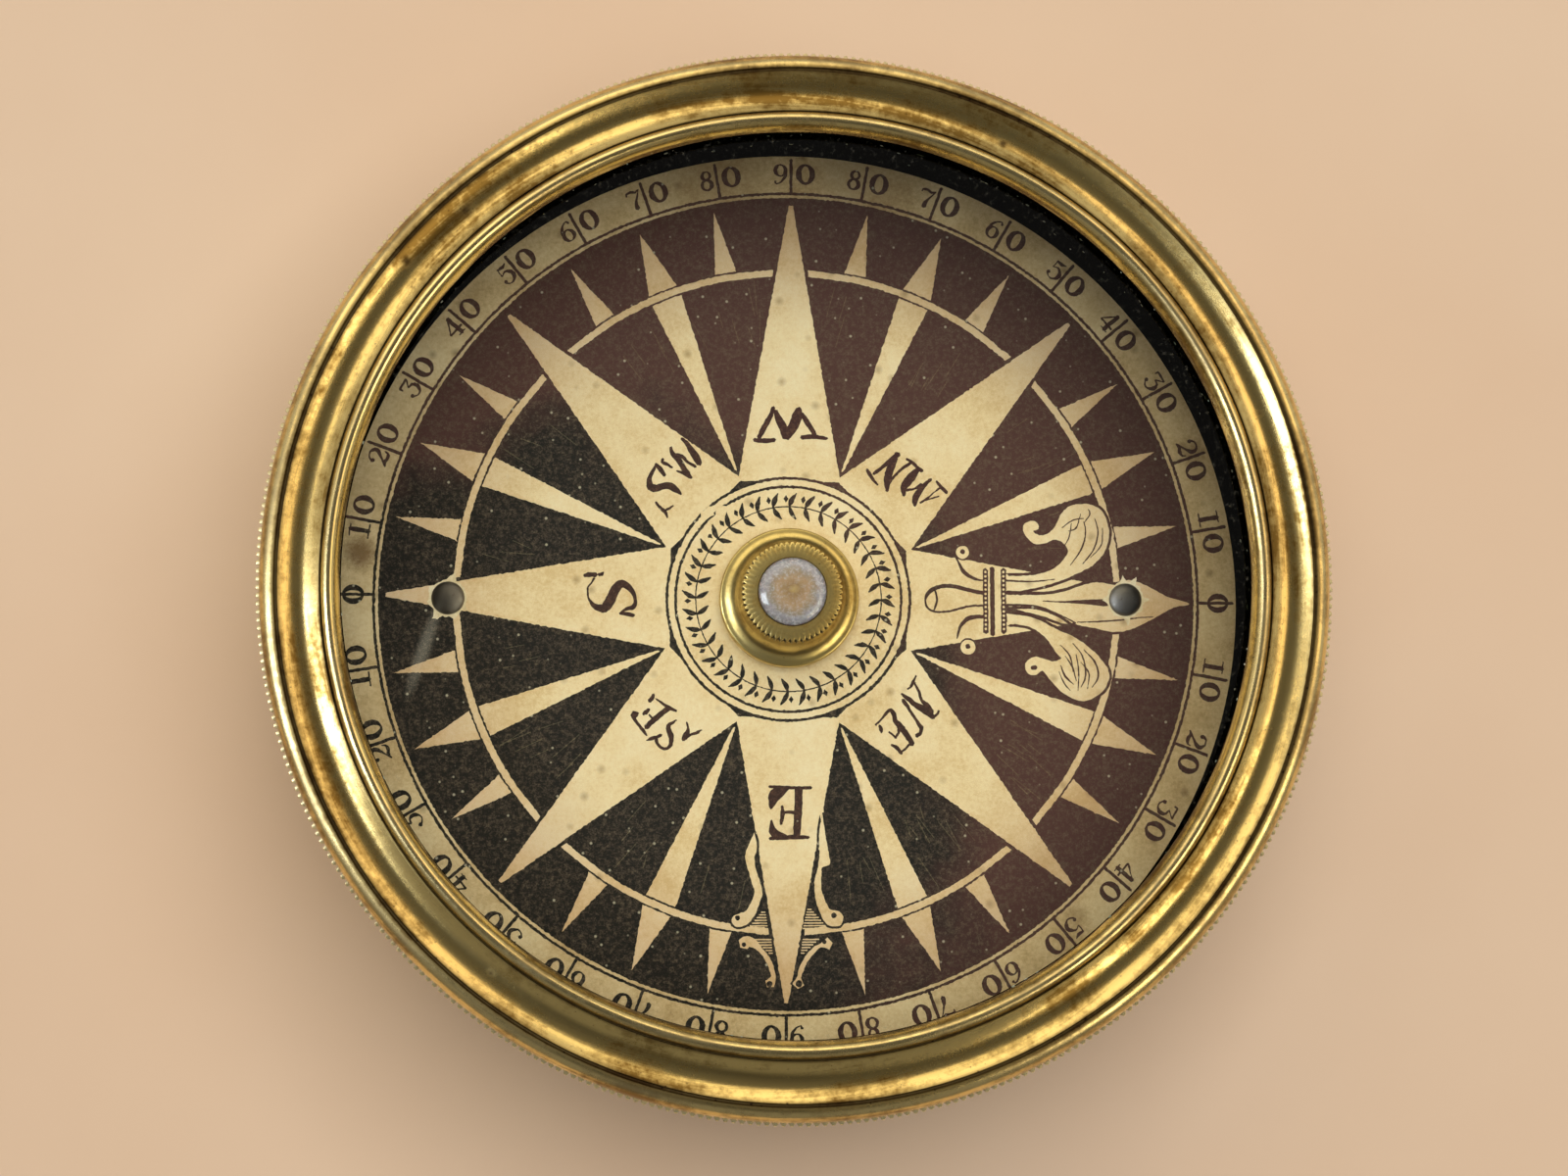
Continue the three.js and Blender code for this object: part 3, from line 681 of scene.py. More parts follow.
def bezel_dirt(x, y, z):
    """Dirt in the bezel's groove and crease, and the tarnish spots on its hollow."""
    radius = np.hypot(x, y)
    top = z > SHOULDER_BOTTOM + 0.5
    groove = 0.9 * np.exp(-((radius - GROOVE_RADIUS) / 0.2) ** 2) * top
    crease = np.exp(-((radius - CREASE_RADIUS) / 0.12) ** 2) * top
    spots = sum(near(x, y, *spot) for spot in (
        (132, 29.6, 0.5, 0.35), (141, 29.9, 0.3, 0.3), (201, 30.6, 0.6, 0.2), (20, 29.4, 0.2, 0.2),
        (291.6, 31.9, 0.5, 0.4), (262, 31.9, 0.3, 0.4), (232, 29.2, 0.25, 0.2), (65, 29.1, 0.3, 0.25),
    ))
    return np.maximum(np.maximum(groove, 0.85 * crease), 0.9 * spots * top)


def bezel_rubbing(x, y, z):
    """Where hands have kept the bezel bright, with a painted highlight along the same bands: the bead's
    crest, the shoulder and the teeth's tips.
    """
    radius = np.hypot(x, y)
    crest = 0.55 * np.exp(-((radius - LIP_BORE - 0.6) / 0.2) ** 2) * (z > BEAD_TOP - 0.3)
    shoulder = 0.3 * np.exp(-((radius - GROOVE_RADIUS - 0.5) / 0.25) ** 2) * (z > SHOULDER_BOTTOM)
    tips = (radius > MILLING_RADIUS - 0.3) * (z > RIM + 0.3) * (z < SHOULDER_BOTTOM)
    return np.maximum(np.maximum(crest, shoulder), tips)


def on_body(piece, body, *replaced):
    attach(piece, body)
    if replaced:
        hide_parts(*replaced)


def make_bezel():
    mesh = turned_mesh("bezel_turned", bezel_profile(), 3 * MILLING_TEETH)
    set_share(mesh, "grime_and_shade", bezel_dirt)
    set_share(mesh, "rubbed", bezel_rubbing)
    piece = run_tree(MILLED_EDGE, mesh, "bezel_fine", {
        "Teeth": float(MILLING_TEETH), "Flat Tip": 1 / 3, "Tip Radius": MILLING_RADIUS * MM,
        "Tooth Depth": MILLING_DEPTH * MM, "Root Dirt And Shade": 0.9, "Lowest": RIM * MM, "Finish": BEZEL_BRASS,
    })
    on_body(piece, "bezel", "bezel")


def make_case():
    rim_chamfer = 0.2
    wall = turned_mesh("case_wall_fine", [
        (0.0, [
            (CHAMBER_RADIUS, WALL_BOTTOM), (CASE_RADIUS - 0.05, WALL_BOTTOM),
            *[(CASE_RADIUS, WALL_BOTTOM + up) for up in (0.05, 0.5, 1.5, 3.5)],
            *[(CASE_RADIUS, RIM - down) for down in (2.5, 1.0, rim_chamfer)],
            (CASE_RADIUS - rim_chamfer, RIM),
        ]),
        (1.0, [
            (BORE_RADIUS + rim_chamfer, RIM), (BORE_RADIUS, RIM - rim_chamfer),
            (BORE_RADIUS, STEP_HEIGHT), (CHAMBER_RADIUS, STEP_HEIGHT),
        ]),
    ], 256)
    set_share(wall, "grime_and_shade", lambda x, y, z: (
        0.9 * np.exp(-(z - WALL_BOTTOM) / 1.2) + 0.7 * np.exp(-(RIM - z) / 0.8) + 0.12))
    wall_piece = link_mesh("case_wall_fine", wall, [CASE_BRASS])
    on_body(wall_piece, "case", "case_wall")

    edge = 0.88
    foot = (CASE_RADIUS - edge, 0.0)
    side = (CASE_RADIUS, edge)
    plug_head = 3.25
    plug_hole = 1.85
    plug_shelf = 0.8
    turned_lines = (11.5, 24.5)
    line_profile = ((-0.1, 0.0), (0.0, 0.05), (0.1, 0.0))
    base = turned_mesh("case_base_fine", [
        (0.0, [
            (plug_head, 0.0), *[(line + out, up) for line in turned_lines for out, up in line_profile],
            foot, *quarter_arc(foot, side, (CASE_RADIUS, 0.0), 8), side, (CASE_RADIUS, WALL_BOTTOM),
        ]),
        (1.0, [
            (CHAMBER_RADIUS - 0.1, WALL_BOTTOM), (CHAMBER_RADIUS - 0.1, FLOOR_TOP), (plug_hole, FLOOR_TOP),
            (plug_hole, plug_shelf),
        ]),
        (0.0, [(plug_head, plug_shelf)]),
    ], 256)
    set_share(base, "grime_and_shade", lambda x, y, z: sum(
        np.exp(-((np.hypot(x, y) - line) / 0.12) ** 2) * (z < 0.4) for line in (plug_head, *turned_lines)))
    base_piece = link_mesh("case_base_fine", base, [CASE_BRASS])
    on_body(base_piece, "case", "case_base")


# Cap, jewel and rivets.

def make_cap():
    flange_top = CARD_TOP + CAP_FLANGE_HEIGHT
    flange_side = (CAP_RADIUS, flange_top - 0.16)
    cove_start = (CAP_RADIUS - 0.14, flange_top)
    cove_end = (CAP_NECK_RADIUS, CARD_TOP + CAP_NECK_HEIGHT)
    round_start = (CAP_BOSS_RADIUS, BOSS_TOP - 0.16)
    round_end = (CAP_BOSS_RADIUS - 0.1, BOSS_TOP - 0.05)
    mesh = turned_mesh("cap_turned", [(0.0, [
        (CAP_BORE_RADIUS, CAP_FOOT), (CAP_SHANK_RADIUS, CAP_FOOT), (CAP_SHANK_RADIUS, CARD_TOP),
        (CAP_RADIUS, CARD_TOP), flange_side,
        *quarter_arc(flange_side, cove_start, (CAP_RADIUS, flange_top), 5), cove_start,
        *quarter_arc(cove_start, cove_end, (CAP_NECK_RADIUS, flange_top), 14), cove_end,
        (CAP_BOSS_RADIUS, cove_end[1] + 0.25), round_start,
        *quarter_arc(round_start, round_end, (CAP_BOSS_RADIUS, BOSS_TOP - 0.05), 4), round_end,
        (CAP_BOSS_RADIUS - CAP_TOOTH_DEPTH - 0.06, BOSS_TOP),
        (JEWEL_POCKET + 0.05, BOSS_TOP), (JEWEL_POCKET, BOSS_TOP - 0.05), (JEWEL_POCKET, JEWEL_BOTTOM),
        (CAP_BORE_RADIUS, JEWEL_BOTTOM),
    ])], 8 * CAP_TEETH)
    # The dark ring at the neck and the dark roots between the boss's teeth are partly dirt and partly painted
    # shade.
    set_share(mesh, "grime_and_shade", lambda x, y, z: np.maximum(
        0.35 * np.exp(-((np.hypot(x, y) - JEWEL_POCKET) / 0.15) ** 2) * (z > BOSS_TOP - 0.3),
        np.exp(-((z - cove_end[1]) / 0.12) ** 2) * 0.6))
    piece = run_tree(MILLED_EDGE, mesh, "cap_fine", {
        "Teeth": float(CAP_TEETH), "Flat Tip": 0.1, "Tip Radius": CAP_BOSS_RADIUS * MM,
        "Tooth Depth": CAP_TOOTH_DEPTH * MM, "Root Dirt And Shade": 2.2, "Lowest": (cove_end[1] + 0.1) * MM,
        "Finish": CAP_BRASS,
    })
    on_body(piece, "card", "cap_body")


def make_jewel():
    crown = (0, JEWEL_TOP)
    shoulder = (JEWEL_RADIUS, BOSS_TOP)
    mesh = turned_mesh("cap_jewel_fine", [(0.0, [
        (0, JEWEL_BOTTOM + JEWEL_CUP_DEPTH), (0.25, JEWEL_BOTTOM + JEWEL_CUP_DEPTH - 0.1),
        (JEWEL_CUP_RADIUS, JEWEL_BOTTOM), (JEWEL_RADIUS, JEWEL_BOTTOM), shoulder,
        *quarter_arc(shoulder, crown, (JEWEL_RADIUS, JEWEL_TOP), 14), crown,
    ])], 72)
    piece = link_mesh("cap_jewel_fine", mesh, [AGATE])
    on_body(piece, "card", "cap_jewel")


def make_rivet(node):
    low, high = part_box(node)
    centre = (low.x + high.x) / 2 / MM
    foot = low.z / MM
    crown = (0, high.z / MM)
    head_radius = 1.05
    shank_radius = 0.55
    head = (head_radius, CARD_TOP)
    clench_top = foot + 0.4
    mesh = turned_mesh(f"{node}_fine", [(0.0, [
        (0, foot), (0.6, foot), (0.85, foot + 0.15), (0.9, clench_top), (shank_radius, clench_top),
        (shank_radius, CARD_TOP), head, *quarter_arc(head, crown, (head_radius, crown[1]), 8), crown,
    ])], 40)
    mesh.transform(Matrix.Translation((centre * MM, 0, 0)))
    piece = link_mesh(f"{node}_fine", mesh, [RIVET_STEEL])
    on_body(piece, "card", node)


# The printed card.

PRINT_STEP = 0.14
PASTED_TURN = -0.45
CREAM, RING, INK, LETTERING, TORN, SCORED, HOLE = range(7)
layers = []

# The rings, rays and arms of the print, and the steps between its winds in degrees.
OUTER_RING = 26.15
MID_RING = 21.0
MID_RING_HALF_ARC = 19.5
RAY_FOOT = 8.1
RAY_TIP = 25.33
RAY_HALF_WIDTH = 1.03
OUTER_POINT_HALF_WIDTH = 0.75
ARM_FOOT = 7.5
ARM_APEX = 26.1
ARM_SLOPE = 0.1763
ARM_TIP = 25.4
ARM_HALF_TIP = 0.12
WIND_STEP = 45
HALF_STEP = 22.5
SCORED_LINES = 90
NUMERAL_BASE = 26.78


def turned_point(x, y, degrees):
    angle = math.radians(degrees)
    return x * math.cos(angle) - y * math.sin(angle), x * math.sin(angle) + y * math.cos(angle)


def lay(tone, outline, ragged=0.018, turn=PASTED_TURN):
    """Put one flat shape on the print, over those before it, with an edge as uneven as ink's.

    Its points start in the middle of its longest side, where its inside is sure.
    """
    sides = list(zip(outline, outline[1:] + outline[:1]))
    lengths = [math.dist(start, end) for start, end in sides]
    longest = lengths.index(max(lengths))
    points = []
    first = 0
    for at, ((x, y), (next_x, next_y)) in enumerate(sides):
        pieces = max(1, round(lengths[at] / PRINT_STEP))
        if at == longest:
            first = len(points) + pieces // 2
        wobble = min(ragged, 0.2 * lengths[at])
        for piece in range(pieces):
            share = piece / pieces
            points.append(turned_point(
                x + (next_x - x) * share + chance.gauss(0, wobble),
                y + (next_y - y) * share + chance.gauss(0, wobble), turn))
    points = points[first:] + points[:first]
    twice_area = sum(a[0] * b[1] - b[0] * a[1] for a, b in zip(points, points[1:] + points[:1]))
    layers.append((tone, points if twice_area > 0 else points[::-1]))


def smooth_path(points):
    """A smooth curve through points of any number of values, in print steps."""
    stops = [np.array(point, float) for point in points]
    path = []
    for at in range(len(stops) - 1):
        before = stops[max(at - 1, 0)]
        start, end = stops[at], stops[at + 1]
        after = stops[min(at + 2, len(stops) - 1)]
        pieces = max(1, round(np.linalg.norm((end - start)[:2]) / PRINT_STEP))
        for share in np.arange(pieces) / pieces:
            path.append(0.5 * (2 * start + (end - before) * share
                               + (2 * before - 5 * start + 4 * end - after) * share ** 2
                               + (3 * start - before - 3 * end + after) * share ** 3))
    return path + [stops[-1]]


def stroke(points):
    """The outline of a pen stroke through (x, y, width) points."""
    path = smooth_path(points)
    right_side = []
    left_side = []
    for at, (x, y, width) in enumerate(path):
        ahead = path[min(at + 1, len(path) - 1)]
        behind = path[max(at - 1, 0)]
        run = (ahead - behind)[:2] / (np.linalg.norm((ahead - behind)[:2]) or 1)
        half = max(width, 0.05) / 2
        right_side.append((x + run[1] * half, y - run[0] * half))
        left_side.append((x - run[1] * half, y + run[0] * half))
        if at in (0, len(path) - 1):
            outward = half * 0.7 * (1 if at else -1)
            tip = (x + run[0] * outward, y + run[1] * outward)
            if at:
                right_side.append(tip)
            else:
                right_side.insert(0, tip)
    return right_side + left_side[::-1]


def oval(x, y, half_width, half_height, points=20):
    angles = [FULL_TURN * k / points for k in range(points)]
    return [(x + half_width * math.cos(angle), y + half_height * math.sin(angle)) for angle in angles]


def circle_line(radius):
    return oval(0, 0, radius, radius, round(FULL_TURN * radius / 0.25))


def card_frame(azimuth, base):
    """Places (x, y) with x clockwise and y outwards from a base radius at an azimuth."""
    angle = math.radians(azimuth)
    up = (math.cos(angle), math.sin(angle))

    def place(x, y, *width):
        return (up[1] * x + up[0] * (base + y), -up[0] * x + up[1] * (base + y), *width)
    return place


def placed(place, points):
    return [place(*point) for point in points]


def lay_strokes(tone, place, strokes, ragged=0.012):
    for points in strokes:
        lay(tone, placed(place, stroke(points)), ragged)


def lay_plainly(tone, strokes, ragged=0.01):
    """Strokes given in the card's own x and y, which the pasted print's turn leaves alone."""
    for points in strokes:
        lay(tone, stroke(points), ragged, 0)


def lay_ball(tone, x, y, radius, ragged=0.01, points=20):
    lay(tone, oval(x, y, radius, radius, points), ragged, 0)


def lay_leaf(outline, line_width):
    """A pale leaf with an ink line round it, in the card's own x and y."""
    closed = outline + outline[:1]
    lay_plainly(INK, [[(x, y, line_width) for x, y in closed]])
    lay(CREAM, [tuple(point) for point in smooth_path(closed)[:-1]], 0.012, 0)


# Numerals, 1.3 mm tall on a baseline at 0, as (x, y, width) strokes, with ovals as
# (tone, x, y, half width, half height).
NUMERALS = {
    "0": ([], [(INK, 0, 0.67, 0.63, 0.69), (RING, 0, 0.67, 0.26, 0.53)]),
    "1": ([[(0, 0.05, 0.3), (0, 1.25, 0.3)], [(-0.45, 0.05, 0.1), (0.45, 0.05, 0.1)],
           [(-0.45, 1.22, 0.1), (0.3, 1.25, 0.1)]], []),
    "2": ([[(-0.38, 0.95, 0.2), (-0.2, 1.22, 0.1), (0.12, 1.26, 0.12), (0.36, 1.05, 0.26), (0.33, 0.8, 0.28),
            (0.05, 0.5, 0.16), (-0.3, 0.2, 0.1), (-0.42, 0.08, 0.08)],
           [(-0.45, 0.06, 0.1), (-0.2, 0.18, 0.2), (0.15, 0.1, 0.24), (0.42, 0.2, 0.14), (0.47, 0.42, 0.06)]],
          [(INK, -0.32, 0.93, 0.13, 0.13)]),
    "3": ([[(-0.38, 1.0, 0.1), (-0.36, 1.2, 0.16)], [(-0.36, 1.22, 0.15), (0.38, 1.22, 0.14)],
           [(0.38, 1.2, 0.1), (0, 0.8, 0.1)],
           [(0, 0.78, 0.1), (0.3, 0.72, 0.16), (0.42, 0.4, 0.3), (0.2, 0.08, 0.14), (-0.1, 0.05, 0.1),
            (-0.36, 0.25, 0.12)]], [(INK, -0.32, 0.3, 0.13, 0.13)]),
    "4": ([[(0.15, 1.3, 0.1), (-0.5, 0.42, 0.1)], [(-0.5, 0.4, 0.14), (0.5, 0.4, 0.14)],
           [(0.15, 1.3, 0.26), (0.15, 0.02, 0.28)], [(-0.12, 0.04, 0.08), (0.42, 0.04, 0.08)]], []),
    "5": ([[(-0.25, 1.25, 0.1), (-0.28, 0.75, 0.08)],
           [(-0.28, 1.2, 0.14), (0.1, 1.18, 0.22), (0.38, 1.3, 0.08)],
           [(-0.28, 0.72, 0.08), (0.05, 0.86, 0.12), (0.38, 0.6, 0.26), (0.38, 0.3, 0.26),
            (0.1, 0.04, 0.12), (-0.2, 0.08, 0.1), (-0.36, 0.26, 0.12)]], [(INK, -0.3, 0.3, 0.12, 0.12)]),
    "6": ([[(-0.32, 0.45, 0.22), (-0.3, 0.8, 0.2), (-0.05, 1.15, 0.12), (0.25, 1.28, 0.1),
            (0.34, 1.12, 0.18)]],
          [(INK, 0, 0.4, 0.46, 0.42), (RING, 0, 0.4, 0.2, 0.32)]),
    "7": ([[(-0.42, 1.02, 0.08), (-0.4, 1.2, 0.1)],
           [(-0.42, 1.18, 0.12), (-0.1, 1.24, 0.2), (0.2, 1.14, 0.16), (0.45, 1.26, 0.06)],
           [(0.45, 1.24, 0.06), (0.18, 0.75, 0.14), (0.02, 0.35, 0.26), (0.02, 0.08, 0.3)]], []),
    "8": ([], [(INK, 0, 0.97, 0.36, 0.33), (INK, 0, 0.37, 0.44, 0.39), (RING, 0.03, 0.99, 0.15, 0.2),
               (RING, -0.03, 0.36, 0.19, 0.26)]),
    "9": ([[(0.32, 0.85, 0.22), (0.3, 0.5, 0.2), (0.05, 0.15, 0.12), (-0.25, 0.02, 0.1),
            (-0.34, 0.18, 0.18)]],
          [(INK, 0, 0.9, 0.46, 0.42), (RING, 0, 0.9, 0.2, 0.32)]),
}

# Blackletter-like capitals for the points of the compass, in (x, y, width) strokes.
POINT_LETTERS = {
    (-90, 11.4): [
        [(-0.7, 0.6, 0.5), (-0.7, 1.5, 0.5), (-0.65, 2.3, 0.5), (-0.6, 3.6, 0.45)],
        [(-1.5, 0.55, 0.2), (-0.4, 0.55, 0.2), (1.15, 0.5, 0.2)],
        [(-0.1, 0.5, 0.15), (0.35, 0.8, 0.55), (0.8, 1.05, 0.8), (1.05, 1.85, 0.2)],
        [(-0.5, 2.1, 0.2), (0.2, 2.1, 0.2)],
        [(0.35, 1.7, 0.15), (0.3, 2.2, 0.3), (0.4, 2.85, 0.15)],
        [(-1.35, 3.65, 0.2), (-0.3, 3.65, 0.3), (1.1, 3.75, 0.2)],
        [(0.05, 3.6, 0.2), (0.75, 3.45, 0.55), (0.95, 3.1, 0.4), (1.0, 2.6, 0.1)],
    ],
    (180, 9.5): [
        [(1.35, 3.45, 0.2), (1.4, 3.2, 0.3), (1.4, 2.7, 0.3)],
        [(1.4, 2.55, 0.2), (1.45, 2.35, 0.25), (1.55, 2.25, 0.15)],
        [(1.2, 2.8, 0.15), (0.85, 3.0, 0.1), (0.6, 3.2, 0.1), (0.1, 3.2, 0.1), (-0.3, 3.05, 0.2),
         (-0.65, 2.65, 0.4), (-0.7, 2.15, 0.6), (-0.25, 1.8, 0.65), (0.25, 1.6, 0.6), (0.65, 1.35, 0.6),
         (0.85, 1.05, 0.5), (0.6, 0.6, 0.4), (0.2, 0.3, 0.25), (-0.25, 0.2, 0.25), (-0.6, 0.3, 0.3),
         (-0.75, 0.75, 0.2), (-1.05, 1.2, 0.1)],
        [(-1.05, 1.2, 0.1), (-1.05, 0.85, 0.25), (-1.15, 0.3, 0.25)],
    ],
    (45, 9.5): [
        [(-2.4, -0.1, 0.2), (-2.0, -0.2, 0.25), (-1.55, -0.3, 0.2), (-1.2, -0.3, 0.15)],
        [(-1.9, 0, 0.2), (-1.8, 0.8, 0.25), (-1.75, 1.5, 0.3), (-1.7, 2.05, 0.35)],
        [(-1.65, 1.75, 0.35), (-1.4, 1.05, 0.5), (-1.0, 0.35, 0.45), (-0.5, -0.15, 0.2)],
        [(-0.75, 0.2, 0.2), (-0.85, 0.75, 0.15), (-0.85, 1.6, 0.2), (-0.7, 2.3, 0.2)],
        [(-1.1, 2.2, 0.15), (-0.7, 2.3, 0.2), (-0.3, 2.3, 0.2), (0.15, 2.35, 0.25)],
        [(-0.15, 2.3, 0.3), (-0.05, 1.55, 0.55), (0.05, 0.8, 0.45), (0.45, 0.4, 0.2)],
        [(0.3, 0.75, 0.2), (0.6, 1.2, 0.15), (0.75, 1.7, 0.3)],
        [(0.9, 2.4, 0.2), (0.9, 1.75, 0.3), (1.05, 0.9, 0.45), (1.4, 0.45, 0.2)],
        [(1.5, 0.8, 0.1), (1.6, 1.25, 0.15), (1.65, 1.85, 0.1), (1.7, 2.4, 0.15)],
        [(1.65, 1.2, 0.1), (2.05, 2.0, 0.1)],
        [(1.25, 2.55, 0.15), (1.75, 2.5, 0.25), (2.25, 2.5, 0.2)],
    ],
    (135, 9.5): [
        [(0, 2.55, 0.2), (0, 2.15, 0.3), (-0.1, 1.6, 0.2)],
        [(-0.05, 2.45, 0.15), (-0.55, 2.3, 0.25), (-1.0, 2.1, 0.3), (-1.25, 1.7, 0.5), (-1.1, 1.45, 0.5),
         (-0.75, 1.25, 0.4), (-0.4, 1.0, 0.45), (-0.25, 0.6, 0.45), (-0.2, 0.25, 0.3), (-0.2, 0, 0.1)],
        [(-1.7, 0.8, 0.15), (-1.75, 0.35, 0.2), (-1.7, -0.05, 0.25), (-1.85, -0.45, 0.1)],
        [(-1.65, 0, 0.1), (-1.35, -0.1, 0.15), (-1.05, -0.15, 0.1)],
        [(0.6, 2.45, 0.15), (0.4, 2.35, 0.2), (0.5, 2.05, 0.2), (0.6, 1.65, 0.15)],
        [(1.45, 2.65, 0.15), (1.25, 2.25, 0.3), (1.25, 1.7, 0.4), (1.1, 1.15, 0.35), (1.0, 0.7, 0.4),
         (1.0, 0.3, 0.15)],
        [(0.65, 1.3, 0.1), (0.85, 0.9, 0.2), (0.95, 0.4, 0.15)],
        [(1.4, 2.05, 0.15), (1.55, 1.75, 0.25), (1.55, 1.2, 0.2), (1.7, 0.65, 0.2)],
        [(2.35, 2.55, 0.2), (2.35, 2.05, 0.3), (2.25, 1.6, 0.4), (2.15, 1.05, 0.5), (2.0, 0.6, 0.35)],
    ],
    (-135, 9.5): [
        [(-0.1, 3.2, 0.1), (-0.25, 2.85, 0.25), (-0.4, 2.6, 0.2), (-0.5, 2.3, 0.2)],
        [(-0.45, 2.65, 0.2), (-0.7, 2.85, 0.2), (-1.1, 2.85, 0.2), (-1.35, 2.65, 0.2), (-1.35, 2.3, 0.25),
         (-1.0, 1.9, 0.35), (-0.65, 1.75, 0.35), (-0.4, 1.55, 0.3), (-0.45, 1.3, 0.2), (-0.5, 0.95, 0.1)],
        [(-1.7, 1.55, 0.2), (-1.6, 1.2, 0.4), (-1.45, 0.85, 0.2), (-1.05, 0.6, 0.1)],
        [(-1.7, 1.35, 0.25), (-1.8, 0.95, 0.15), (-1.95, 0.65, 0.2), (-2.05, 0.25, 0.1)],
        [(0.5, 2.65, 0.3), (0.5, 2.1, 0.35), (0.45, 1.35, 0.35), (0.35, 0.7, 0.35)],
        [(1.65, 0.85, 0.2), (1.55, 1.1, 0.3), (1.55, 1.35, 0.25)],
        [(1.4, 0.95, 0.1), (0.95, 0.85, 0.15), (0.4, 0.75, 0.25), (-0.1, 0.55, 0.15)],
        [(1.2, 1.7, 0.2), (1.2, 2.0, 0.3), (1.25, 2.2, 0.15)],
        [(0.95, 1.95, 0.1), (0.7, 1.95, 0.15)],
        [(1.5, 2.35, 0.2), (1.6, 2.6, 0.5), (1.7, 2.8, 0.15)],
        [(1.6, 2.75, 0.25), (1.0, 2.85, 0.2), (0.55, 2.9, 0.25), (0.1, 2.95, 0.1)],
    ],
    (-45, 9.5): [
        [(-2.35, -0.35, 0.1), (-1.9, -0.2, 0.2), (-1.55, -0.1, 0.15), (-1.35, -0.15, 0.1)],
        [(-1.95, -0.1, 0.15), (-1.75, 0.5, 0.2), (-1.5, 1.0, 0.2), (-1.5, 1.5, 0.35), (-1.45, 2.0, 0.25)],
        [(-0.85, -0.2, 0.15), (-0.95, 0.3, 0.3), (-1.0, 0.9, 0.35), (-1.2, 1.6, 0.5), (-1.25, 2.3, 0.3)],
        [(-1.35, 2.3, 0.2), (-1.65, 2.3, 0.15), (-1.8, 2.2, 0.15)],
        [(-0.65, 0.15, 0.25), (-0.6, 0.5, 0.25), (-0.5, 0.95, 0.2), (-0.35, 1.65, 0.2), (-0.25, 2.25, 0.3)],
        [(-0.3, 2.2, 0.25), (0.05, 2.4, 0.25), (0.35, 2.35, 0.25)],
        [(1.7, 0.05, 0.15), (1.2, 0.05, 0.15), (0.6, 0, 0.2), (0.35, 0.05, 0.25), (0.4, 0.4, 0.3)],
        [(1.55, 0.25, 0.2), (1.65, 0.5, 0.25), (1.8, 0.65, 0.15)],
        [(0.35, 0.35, 0.25), (0.6, 0.7, 0.3), (0.65, 1.25, 0.4), (0.75, 1.95, 0.35), (0.9, 2.55, 0.35)],
        [(0.75, 1.15, 0.2), (1.0, 1.4, 0.2), (1.4, 1.5, 0.15)],
        [(1.4, 0.95, 0.1), (1.35, 1.3, 0.15), (1.35, 1.55, 0.15)],
        [(1.05, 2.4, 0.15), (1.35, 2.45, 0.15), (1.75, 2.4, 0.15)],
        [(1.85, 1.65, 0.15), (1.75, 2.05, 0.25), (1.8, 2.5, 0.2)],
    ],
}
WEST_LETTER = [
    [(2.25, 2.85, 0.25), (1.75, 2.9, 0.3), (0.95, 2.85, 0.3)],
    [(1.95, 2.7, 0.3), (1.6, 2.0, 0.35), (1.2, 1.25, 0.3), (1.05, 0.75, 0.25)],
    [(0.9, 0.95, 0.25), (0.7, 1.5, 0.45), (0.4, 2.05, 0.55), (0.15, 2.65, 0.6)],
    [(0.15, 2.55, 0.55), (-0.25, 1.9, 0.65), (-0.5, 1.25, 0.65), (-0.6, 0.8, 0.35)],
    [(-0.8, 1.1, 0.2), (-1.1, 1.65, 0.35), (-1.45, 2.15, 0.3), (-1.6, 2.5, 0.3)],
    [(-0.75, 2.65, 0.25), (-1.6, 2.6, 0.3), (-2.4, 2.7, 0.2)],
]


def lay_rings_and_rays():
    """The degree ring, the black field with its rays, arms and scored lines, and its rings."""
    for tone, beyond in ((INK, 0.09), (RING, -0.09), (INK, -0.27)):
        lay(tone, circle_line(OUTER_RING + beyond))
    for point in range(8):
        place = card_frame(HALF_STEP + WIND_STEP * point, 0)
        lay(CREAM, placed(place, [
            (0, RAY_FOOT), (RAY_HALF_WIDTH, MID_RING), (0, RAY_TIP), (-RAY_HALF_WIDTH, MID_RING)]))
    for point in range(16):
        place = card_frame(HALF_STEP / 2 + HALF_STEP * point, 0)
        lay(CREAM, placed(place, [
            (-OUTER_POINT_HALF_WIDTH, MID_RING), (OUTER_POINT_HALF_WIDTH, MID_RING), (0, RAY_TIP)]))
    for _ in range(SCORED_LINES):
        side = WIND_STEP * chance.randrange(8)
        azimuth = HALF_STEP + side + chance.choice((-1, 1)) * chance.uniform(4, 16)
        place = card_frame(azimuth, chance.uniform(15.5, 18.5))
        slant = chance.uniform(-0.35, 0.35)
        lay_strokes(SCORED, place, [[(0, 0, 0.05), (slant, chance.uniform(0.8, 2.4), 0.05)]], 0.008)
    for tone, half in ((INK, 0.33), (CREAM, 0.21)):
        for point in range(8):
            middle = HALF_STEP + WIND_STEP * point
            arc = [card_frame(middle + share * MID_RING_HALF_ARC, 0)(0, MID_RING, 2 * half)
                   for share in (-1, -0.5, 0, 0.5, 1)]
            lay(tone, stroke(arc))
    for tone, extra in ((INK, 0.2), (CREAM, 0.0)):
        for point in range(8):
            half_foot = ARM_SLOPE * (ARM_APEX - ARM_FOOT) + extra
            half_tip = ARM_HALF_TIP + extra
            tip = ARM_TIP + extra
            place = card_frame(WIND_STEP * point, 0)
            lay(tone, placed(place, [
                (-half_foot, ARM_FOOT), (half_foot, ARM_FOOT), (half_tip, tip), (-half_tip, tip)]))
    for tone, radius in ((INK, 7.8), (CREAM, 7.62), (INK, 7.25), (CREAM, 7.08)):
        lay(tone, circle_line(radius))


